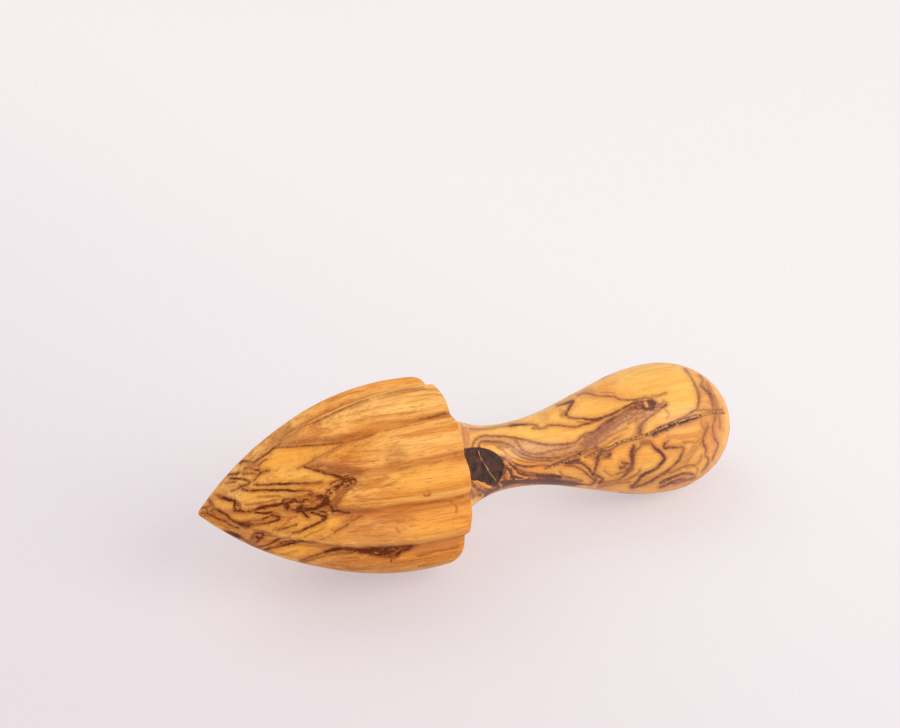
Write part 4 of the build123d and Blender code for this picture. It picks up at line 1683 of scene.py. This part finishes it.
@dataclass(frozen=True)
class CheckLine:
    """One filled crack of the handle, drawn as shares of the wood that it runs through."""

    shares: tuple[tuple[float, float], ...]
    angle: float
    start_station: float
    station_reach: float
    side_reach: float
    width: float

    def points(self, skin: HandleSkin, sink: float, step: float) -> list[Vector]:
        """Points along the crack below the skin, smooth and a step apart.

        Args:
            skin: The handle's outside.
            sink: Depth of the points below the skin.
            step: Distance between them along the axis.

        Returns:
            The points in millimetres of the turning frame.
        """
        curve = Stroke(1.0, 1.0, self.shares).curve()
        stations = self.start_station + self.station_reach * curve[:, 0]
        sides = self.side_reach * curve[:, 1]
        lengths = np.concatenate(([0.0], np.cumsum(np.hypot(np.diff(stations), np.diff(sides)))))
        even = np.linspace(0, lengths[-1], max(3, int(lengths[-1] / step)))
        even_places = zip(np.interp(even, lengths, stations), np.interp(even, lengths, sides))
        return [skin.point(station, side, self.angle, sink) for station, side in even_places]


@dataclass(frozen=True)
class Handle:
    """The turned handle with its tenon, and the hollows for the knot and the filled checks."""

    skin: HandleSkin = HandleSkin()
    tenon_radius: float = 6.0
    tenon_station: float = 39.0
    tenon_chamfer: float = 0.8
    groove_depth: float = 0.35
    # Step along a check, and how far beyond its ends the groove is looked for
    check_step: float = 0.4
    groove_reach: float = 2.0
    # Shares of a check's width at which its groove is full depth, and at which it ends
    groove_floor: float = 0.3
    groove_edge: float = 0.8
    knot_hollow: float = 1.0
    # Distance between points on the seen side, and degrees between them on the other
    spacing: float = 0.31
    unseen_step: float = 3.0

    def rings(self) -> np.ndarray:
        """Half section from the tenon's end out to the skin and round the bulb.

        Returns:
            Rows of station and radius.
        """
        skin = self.skin
        tenon = [(self.tenon_station, 0.0), (self.tenon_station, self.tenon_radius - self.tenon_chamfer),
                 (self.tenon_station + self.tenon_chamfer, self.tenon_radius),
                 (skin.head_length, self.tenon_radius)]
        stations = np.arange(skin.head_length, skin.bulb_station, self.spacing)
        outside = np.column_stack((stations, skin.radius(stations)))
        turns = np.radians(np.linspace(0, 90, int(30 / self.spacing)))[:-1]
        cap = np.column_stack((skin.bulb_station + skin.cap_length * np.sin(turns),
                               skin.bulb_radius * np.cos(turns)))
        return np.array([*tenon, *outside, *cap, (skin.overall_length, 0.0)], float)

    def build(self, turning: TurningFrame, camera: PhotoCamera, finish: OliveWood, knot: "NeckKnot",
              checks: tuple[CheckLine, ...]) -> bpy.types.Object:
        """Turn, hollow, place and dress the handle.

        Args:
            turning: The turning frame.
            camera: The photograph's camera.
            finish: The handle's wood.
            knot: The knot that sits in the neck.
            checks: The filled checks.

        Returns:
            The finished piece.
        """
        angles = seen_angles(math.degrees(self.spacing / self.skin.bulb_radius), self.unseen_step)
        mesh = turned_mesh("handle", self.rings(), angles)
        points = vertex_rows(mesh, "co")
        stations = points[:, 0]
        sink = self.knot_hollow * knot.inside(points)
        for check in checks:
            line = np.array(check.points(self.skin, 0.0, self.check_step))
            first, last = line[:, 0].min() - self.groove_reach, line[:, 0].max() + self.groove_reach
            near = np.flatnonzero((stations > first) & (stations < last))
            gaps = np.sqrt(((points[near, None, :] - line[None, :, :]) ** 2).sum(axis=2)).min(axis=1)
            groove = smooth(gaps, check.width * self.groove_edge, check.width * self.groove_floor)
            sink[near] = np.maximum(sink[near], self.groove_depth * groove)
        radii = np.hypot(points[:, 1], points[:, 2])
        outside = (stations > self.skin.head_length) & (radii > self.tenon_radius)
        shrink = np.where(outside, (radii - sink) / np.maximum(radii, 1e-6), 1.0)
        points[:, 1:] *= shrink[:, None]
        mesh.vertices.foreach_set("co", points.ravel())
        mesh.update()
        piece = finished("olive_handle", mesh, "handle", finish.material(turning), turning)
        figure = Figure(HANDLE_STROKES, HANDLE_PATCHES, thinness=1.05, soft_edge=1.4, halo_reach=4.4,
                        halo_strength=0.4)
        figure.draw(piece.data, turning, camera)
        return piece


@dataclass(frozen=True)
class NeckKnot:
    """The dead knot: a plug whose face follows the flare of the neck."""

    skin: HandleSkin = HandleSkin()
    station: float = 72.0
    angle: float = 63.0
    face_radius: float = 6.9
    depth: float = 1.4
    proud: float = 0.03
    # Points round the face and out across it, and the relief of its surface
    columns: int = 120
    rows: int = 26
    relief: float = 0.05
    relief_scale: float = 0.9
    # Outline of the face: degrees from the axis towards the near side, and shares of its radius
    outline_shares: tuple[tuple[float, float], ...] = (
        (-160, 1.0), (-125, 0.98), (-100, 0.78), (-70, 0.70), (-40, 0.76), (-18, 0.86), (5, 0.96), (30, 1.0),
        (50, 1.0), (66, 0.82), (85, 0.54), (130, 0.48), (160, 0.75), (200, 1.0),
    )

    def _reach(self, turns: np.ndarray) -> np.ndarray:
        """Find how far the face's outline reaches.

        Args:
            turns: Turns in degrees.

        Returns:
            The radii.
        """
        places, shares = np.array(self.outline_shares).T
        return self.face_radius * np.interp((turns + 160) % 360 - 160, places, shares)

    def _axes(self) -> tuple[np.ndarray, np.ndarray]:
        """Find the plug's directions.

        Returns:
            The plug's own axis, and the direction across it towards the near side.
        """
        turn = math.radians(self.angle)
        out = np.array((0, -math.sin(turn), math.cos(turn)))
        return out, np.array((0, -math.cos(turn), -math.sin(turn)))

    def inside(self, points: np.ndarray) -> np.ndarray:
        """How far points of the skin lie inside the face, from zero to one.

        Args:
            points: Points in millimetres of the turning frame, as rows.

        Returns:
            Zero outside the face, and one well inside it.
        """
        out, across = self._axes()
        along = points[:, 0] - self.station
        side = points @ across
        gap = np.hypot(along, side) - self._reach(np.degrees(np.arctan2(side, along)))
        return np.where(points @ out > 0, smooth(gap, 0.05, -0.25), 0.0)

    def build(self, turning: TurningFrame, finish: KnotWood) -> bpy.types.Object:
        """Make, place and dress the knot.

        Args:
            turning: The turning frame.
            finish: The knot's wood.

        Returns:
            The finished piece.
        """
        out, across = self._axes()
        columns, rows = self.columns, self.rows
        turns = np.linspace(0, 360, columns, endpoint=False)
        reach = self._reach(turns)
        direction = np.radians(turns)
        middle = self.skin.radius(np.array(self.station)) + self.proud
        points = [np.array((self.station, 0, 0)) + out * middle]
        for row in range(1, rows + 1):
            along = reach * np.cos(direction) * row / rows
            side = reach * np.sin(direction) * row / rows
            height = np.sqrt(self.skin.radius(self.station + along) ** 2 - side ** 2) + self.proud
            for a, b, h in zip(along, side, height):
                relief = self.relief * noise.noise(Vector((a, b, 0.0)) * self.relief_scale)
                points.append(np.array((self.station + a, 0, 0)) + across * b + out * (h - abs(relief)))
        points.extend([point - out * self.depth for point in points[-columns:]])
        points.append(points[0] - out * self.depth)
        faces = [(0, 1 + column, 1 + (column + 1) % columns) for column in range(columns)]
        for row in range(rows):
            start, below = 1 + row * columns, 1 + (row + 1) * columns
            for column in range(columns):
                beside = (column + 1) % columns
                faces.append((start + column, below + column, below + beside, start + beside))
        start = 1 + rows * columns
        last = len(points) - 1
        faces += [(start + (column + 1) % columns, start + column, last) for column in range(columns)]
        mesh = bpy.data.meshes.new("neck_knot")
        mesh.from_pydata([tuple(point) for point in points], [], faces)
        return finished("dead_knot", mesh, "neck_knot", finish.material(), turning)


@dataclass(frozen=True)
class CheckFill:
    """Ragged filler along one or more check lines, with pits where it has crumbled."""

    name: str
    node: str
    lines: tuple[CheckLine, ...]
    skin: HandleSkin = HandleSkin()
    sink: float = 0.18
    raggedness: float = 0.22
    pit_depth: float = 0.3
    pit_amount: float = 0.8
    # Scale per millimetre and octaves of the noises that make width, ragged top and pits
    width_noise: tuple[float, float] = (0.7, 2.0)
    ragged_noise: tuple[float, float] = (2.6, 4.0)
    pit_noise: tuple[float, float] = (1.5, 2.0)
    # How steeply the ends taper, and the middle stretch that is pitted more, as shares of the line
    taper: float = 14.0
    pitted_middle: float = 0.6
    pitted_reach: float = 0.19

    def tree(self) -> Tree:
        """Build the nodes that thicken the line into ragged, pitted filler.

        Returns:
            The geometry node tree.
        """
        wires, given = node_tree(self.name + "_fill", (
            "Thickness", "Raggedness", "Pit Depth", "Pit Amount", "Seed",
        ))
        tree, calc = wires.tree, wires.calc

        def rough(sizes: tuple[float, float]) -> Socket:
            """Add seeded noise.

            Args:
                sizes: Scale per millimetre and octaves.

            Returns:
                Socket with the noise.
            """
            return add_node(tree, "ShaderNodeTexNoise", {"noise_dimensions": "4D"},
                            {"W": given["Seed"], "Scale": sizes[0], "Detail": sizes[1]}).outputs[0]

        curve = add_node(tree, "GeometryNodeMeshToCurve", None, {0: given["Geometry"]})
        along = add_node(tree, "GeometryNodeSplineParameter").outputs["Factor"]
        ends = calc("MINIMUM", calc("MULTIPLY", calc("PINGPONG", along, 0.5), self.taper), 1.0)
        width = calc("MULTIPLY", calc("MULTIPLY_ADD", rough(self.width_noise), 0.9, 0.5), ends)
        sized = add_node(tree, "GeometryNodeSetCurveRadius", None, {0: curve.outputs[0], "Radius": width})
        ring = add_node(tree, "GeometryNodeCurvePrimitiveCircle", None,
                        {"Resolution": 12, "Radius": given["Thickness"]})
        tube = add_node(tree, "GeometryNodeCurveToMesh", None,
                        {0: sized.outputs[0], 1: ring.outputs[0], "Fill Caps": True})
        if "Scale" in tube.inputs:
            tree.links.new(width, tube.inputs["Scale"])
        ragged = calc("MULTIPLY", calc("SUBTRACT", rough(self.ragged_noise), 0.5), given["Raggedness"])
        # The more pits there are to be, the lower the noise may be that makes one
        middle = calc("COMPARE", along, self.pitted_middle, self.pitted_reach)
        limit = calc("SUBTRACT", calc("SUBTRACT", 0.72, calc("MULTIPLY", given["Pit Amount"], 0.2)),
                     calc("MULTIPLY", middle, calc("MULTIPLY", given["Pit Amount"], 0.24)))
        pit = wires.ranged(rough(self.pit_noise), limit, calc("ADD", limit, 0.05), eased=True)
        lift = calc("SUBTRACT", ragged, calc("MULTIPLY", pit, given["Pit Depth"]))
        normal = add_node(tree, "GeometryNodeInputNormal").outputs[0]
        offset = add_node(tree, "ShaderNodeVectorMath", {"operation": "SCALE"}, {0: normal, "Scale": lift})
        marked = add_node(tree, "GeometryNodeStoreNamedAttribute", {"data_type": "FLOAT", "domain": "POINT"},
                          {"Geometry": tube.outputs[0], "Name": PIT, "Value": pit})
        moved = add_node(tree, "GeometryNodeSetPosition", None,
                         {"Geometry": marked.outputs[0], "Offset": offset.outputs[0]})
        close_tree(tree, moved.outputs[0], given["Material"])
        return tree

    def build(self, turning: TurningFrame, finish: CheckFiller) -> bpy.types.Object:
        """Lay, place and dress the filler.

        Args:
            turning: The turning frame.
            finish: The filler.

        Returns:
            The finished piece.
        """
        points: list[Vector] = []
        edges: list[tuple[int, int]] = []
        for line in self.lines:
            first = len(points)
            points += line.points(self.skin, self.sink, 0.16)
            edges += [(index, index + 1) for index in range(first, len(points) - 1)]
        path = bpy.data.meshes.new(self.name + "_path")
        path.from_pydata(points, edges, [])
        material = finish.material()
        filled = grown(self.name, path, self.tree(), {
            "Thickness": self.lines[0].width / 2,
            "Raggedness": self.raggedness,
            "Pit Depth": self.pit_depth,
            "Pit Amount": self.pit_amount,
            "Seed": float(SEED),
            "Material": material,
        })
        return finished(self.name, filled, self.node, material, turning)


@dataclass(frozen=True)
class Studio:
    """A plain pale floor with a painted glow, in even light, with one soft lamp behind the object and one in
    front.
    """

    floor_size: float = 6.0
    floor_colour: str = "#E8E1E4"
    # Share of a painted glow in its own pale colour that the floor shows whatever light falls on it. The glow
    # is painted light, darker on the left and brighter on the right
    glow_share: float = 0.5
    glow_left: str = "#E6DCE3"
    glow_right: str = "#FFFCFD"
    glow_way: tuple[float, float, float] = (0.91, 0.41, 0.0)
    glow_reach: float = 0.15
    sky_colour: str = "#FFFCFD"
    sky_strength: float = 0.69
    lamp_colour: str = "#FFFDF4"
    lamp_size: float = 1.1
    # Where each lamp hangs, and its power in watts: behind, and in front of the object
    lamps: tuple[tuple[tuple[float, float, float], float], ...] = (
        ((-0.45, 0.75, 1.25), 4.5),
        ((0.80, -1.05, 1.00), 13.0),
    )

    def floor(self) -> bpy.types.Object:
        """Lay the floor.

        Returns:
            The floor.
        """
        half = self.floor_size / 2
        mesh = bpy.data.meshes.new("floor")
        corners = [(-half, -half, 0), (half, -half, 0), (half, half, 0), (-half, half, 0)]
        mesh.from_pydata(corners, [], [(0, 1, 2, 3)])
        floor = bpy.data.objects.new("floor", mesh)
        bpy.context.scene.collection.objects.link(floor)
        paper, wires = start_material("matt_white_paper")
        shader = shader_of(paper)
        fill(shader, {"Base Color": linear(self.floor_colour), "Roughness": 0.9, "Specular IOR Level": 0.1})
        rays = add_node(wires.tree, "ShaderNodeLightPath").outputs
        seen = wires.calc("MAXIMUM", rays["Is Camera Ray"], rays["Is Glossy Ray"])
        seen = wires.calc("MAXIMUM", seen, rays["Is Transmission Ray"])
        place = add_node(wires.tree, "ShaderNodeTexCoord").outputs["Object"]
        # Painted light: the floor's glow runs from darker on the left to brighter on the right
        across = wires.ranged(wires.vector("DOT_PRODUCT", place, self.glow_way), -self.glow_reach,
                              self.glow_reach, eased=True)
        hue = wires.mixed(across, self.glow_left, self.glow_right)
        glow = add_node(wires.tree, "ShaderNodeEmission", None, {"Color": hue, "Strength": 1.0})
        mixed = add_node(wires.tree, "ShaderNodeMixShader", None,
                         {0: wires.calc("MULTIPLY", seen, self.glow_share), 1: shader.outputs[0],
                          2: glow.outputs[0]})
        fill(wires.tree.nodes["Material Output"], {"Surface": mixed.outputs[0]})
        mesh.materials.append(paper)
        return floor

    def light(self) -> None:
        """Set the even light from all round and the soft lamps."""
        world = bpy.data.worlds.new("studio")
        world.use_nodes = True
        sky = {"Color": linear(self.sky_colour), "Strength": self.sky_strength}
        fill(world.node_tree.nodes["Background"], sky)
        bpy.context.scene.world = world
        for number, (place, power) in enumerate(self.lamps):
            data = bpy.data.lights.new(f"softbox_{number}", "AREA")
            data.shape = "SQUARE"
            data.size = self.lamp_size
            data.energy = power
            data.color = linear(self.lamp_colour)[:3]
            lamp = bpy.data.objects.new(f"softbox_{number}", data)
            lamp.location = place
            lamp.rotation_euler = Vector(place).to_track_quat("Z", "Y").to_euler()
            bpy.context.scene.collection.objects.link(lamp)


def check_lines(skin: HandleSkin) -> tuple[CheckLine, tuple[CheckLine, ...]]:
    """The check across the knot, and the two stretches of the check along the handle.

    Args:
        skin: The handle's outside.

    Returns:
        The knot's check, and the handle's stretches.
    """
    handle_angle = 60.0
    knot_width, handle_width = 0.46, 0.66
    knot_shares = ((-0.05, -0.74), (-0.08, -0.48), (0.04, -0.20), (0.16, 0.0), (0.28, 0.22), (0.45, 0.42),
                   (0.70, 0.74))
    upper_shares = ((0.315, 0.245), (0.36, 0.20), (0.40, 0.15), (0.44, 0.06))
    long_shares = ((0.435, 0.165), (0.48, 0.10), (0.515, 0.06), (0.543, 0.003), (0.60, -0.022), (0.65, -0.08),
                   (0.69, -0.127), (0.75, -0.17), (0.80, -0.187), (0.86, -0.18), (0.93, -0.12))
    knot = NeckKnot()
    open_length = skin.overall_length - skin.head_length
    across = CheckLine(knot_shares, knot.angle, knot.station, knot.face_radius, knot.face_radius, knot_width)
    along = tuple(CheckLine(shares, handle_angle, skin.head_length, open_length, skin.bulb_radius,
                            handle_width)
                  for shares in (upper_shares, long_shares))
    return across, along


def main() -> None:
    """Build the reamer's pieces in order and set the studio round them."""
    logging.basicConfig(level=logging.INFO, format="%(name)s: %(message)s")
    bpy.context.scene.view_settings.view_transform = "Standard"
    turning = TurningFrame.from_record(frame["record"])
    camera = PhotoCamera()
    camera.place(turning.tip)
    head_wood = OliveWood("olive_wood_carved_oiled", pale="#FFC26C", deep="#EE9E44", streak="#B05E20",
                          figured_radius=15.5, roughness_low=0.5, roughness_high=0.66)
    handle_wood = OliveWood("olive_wood_turned_oiled", pale="#FFC25A", deep="#FCAA44", streak="#D07C2A",
                            line_pale="#9D532B", line_dark="#642C16", streak_share=0.34, fibre_share=0.22,
                            pore_darkness=0.2, sheen_level=0.6, roughness_low=0.32, roughness_high=0.46)
    skin = HandleSkin()
    knot = NeckKnot(skin)
    knot_check, handle_checks = check_lines(skin)
    ReamerHead().build(turning, camera, head_wood)
    Handle(skin).build(turning, camera, handle_wood, knot, (knot_check, *handle_checks))
    knot.build(turning, KnotWood())
    filler = CheckFiller()
    knot_fill = CheckFill("knot_check_fill", "knot_check_filler", (knot_check,), skin, pit_amount=0.2)
    knot_fill.build(turning, filler)
    CheckFill("handle_check_fill", "handle_check_filler", handle_checks, skin).build(turning, filler)
    studio = Studio()
    studio.floor()
    studio.light()


if __name__ == "__main__":
    main()
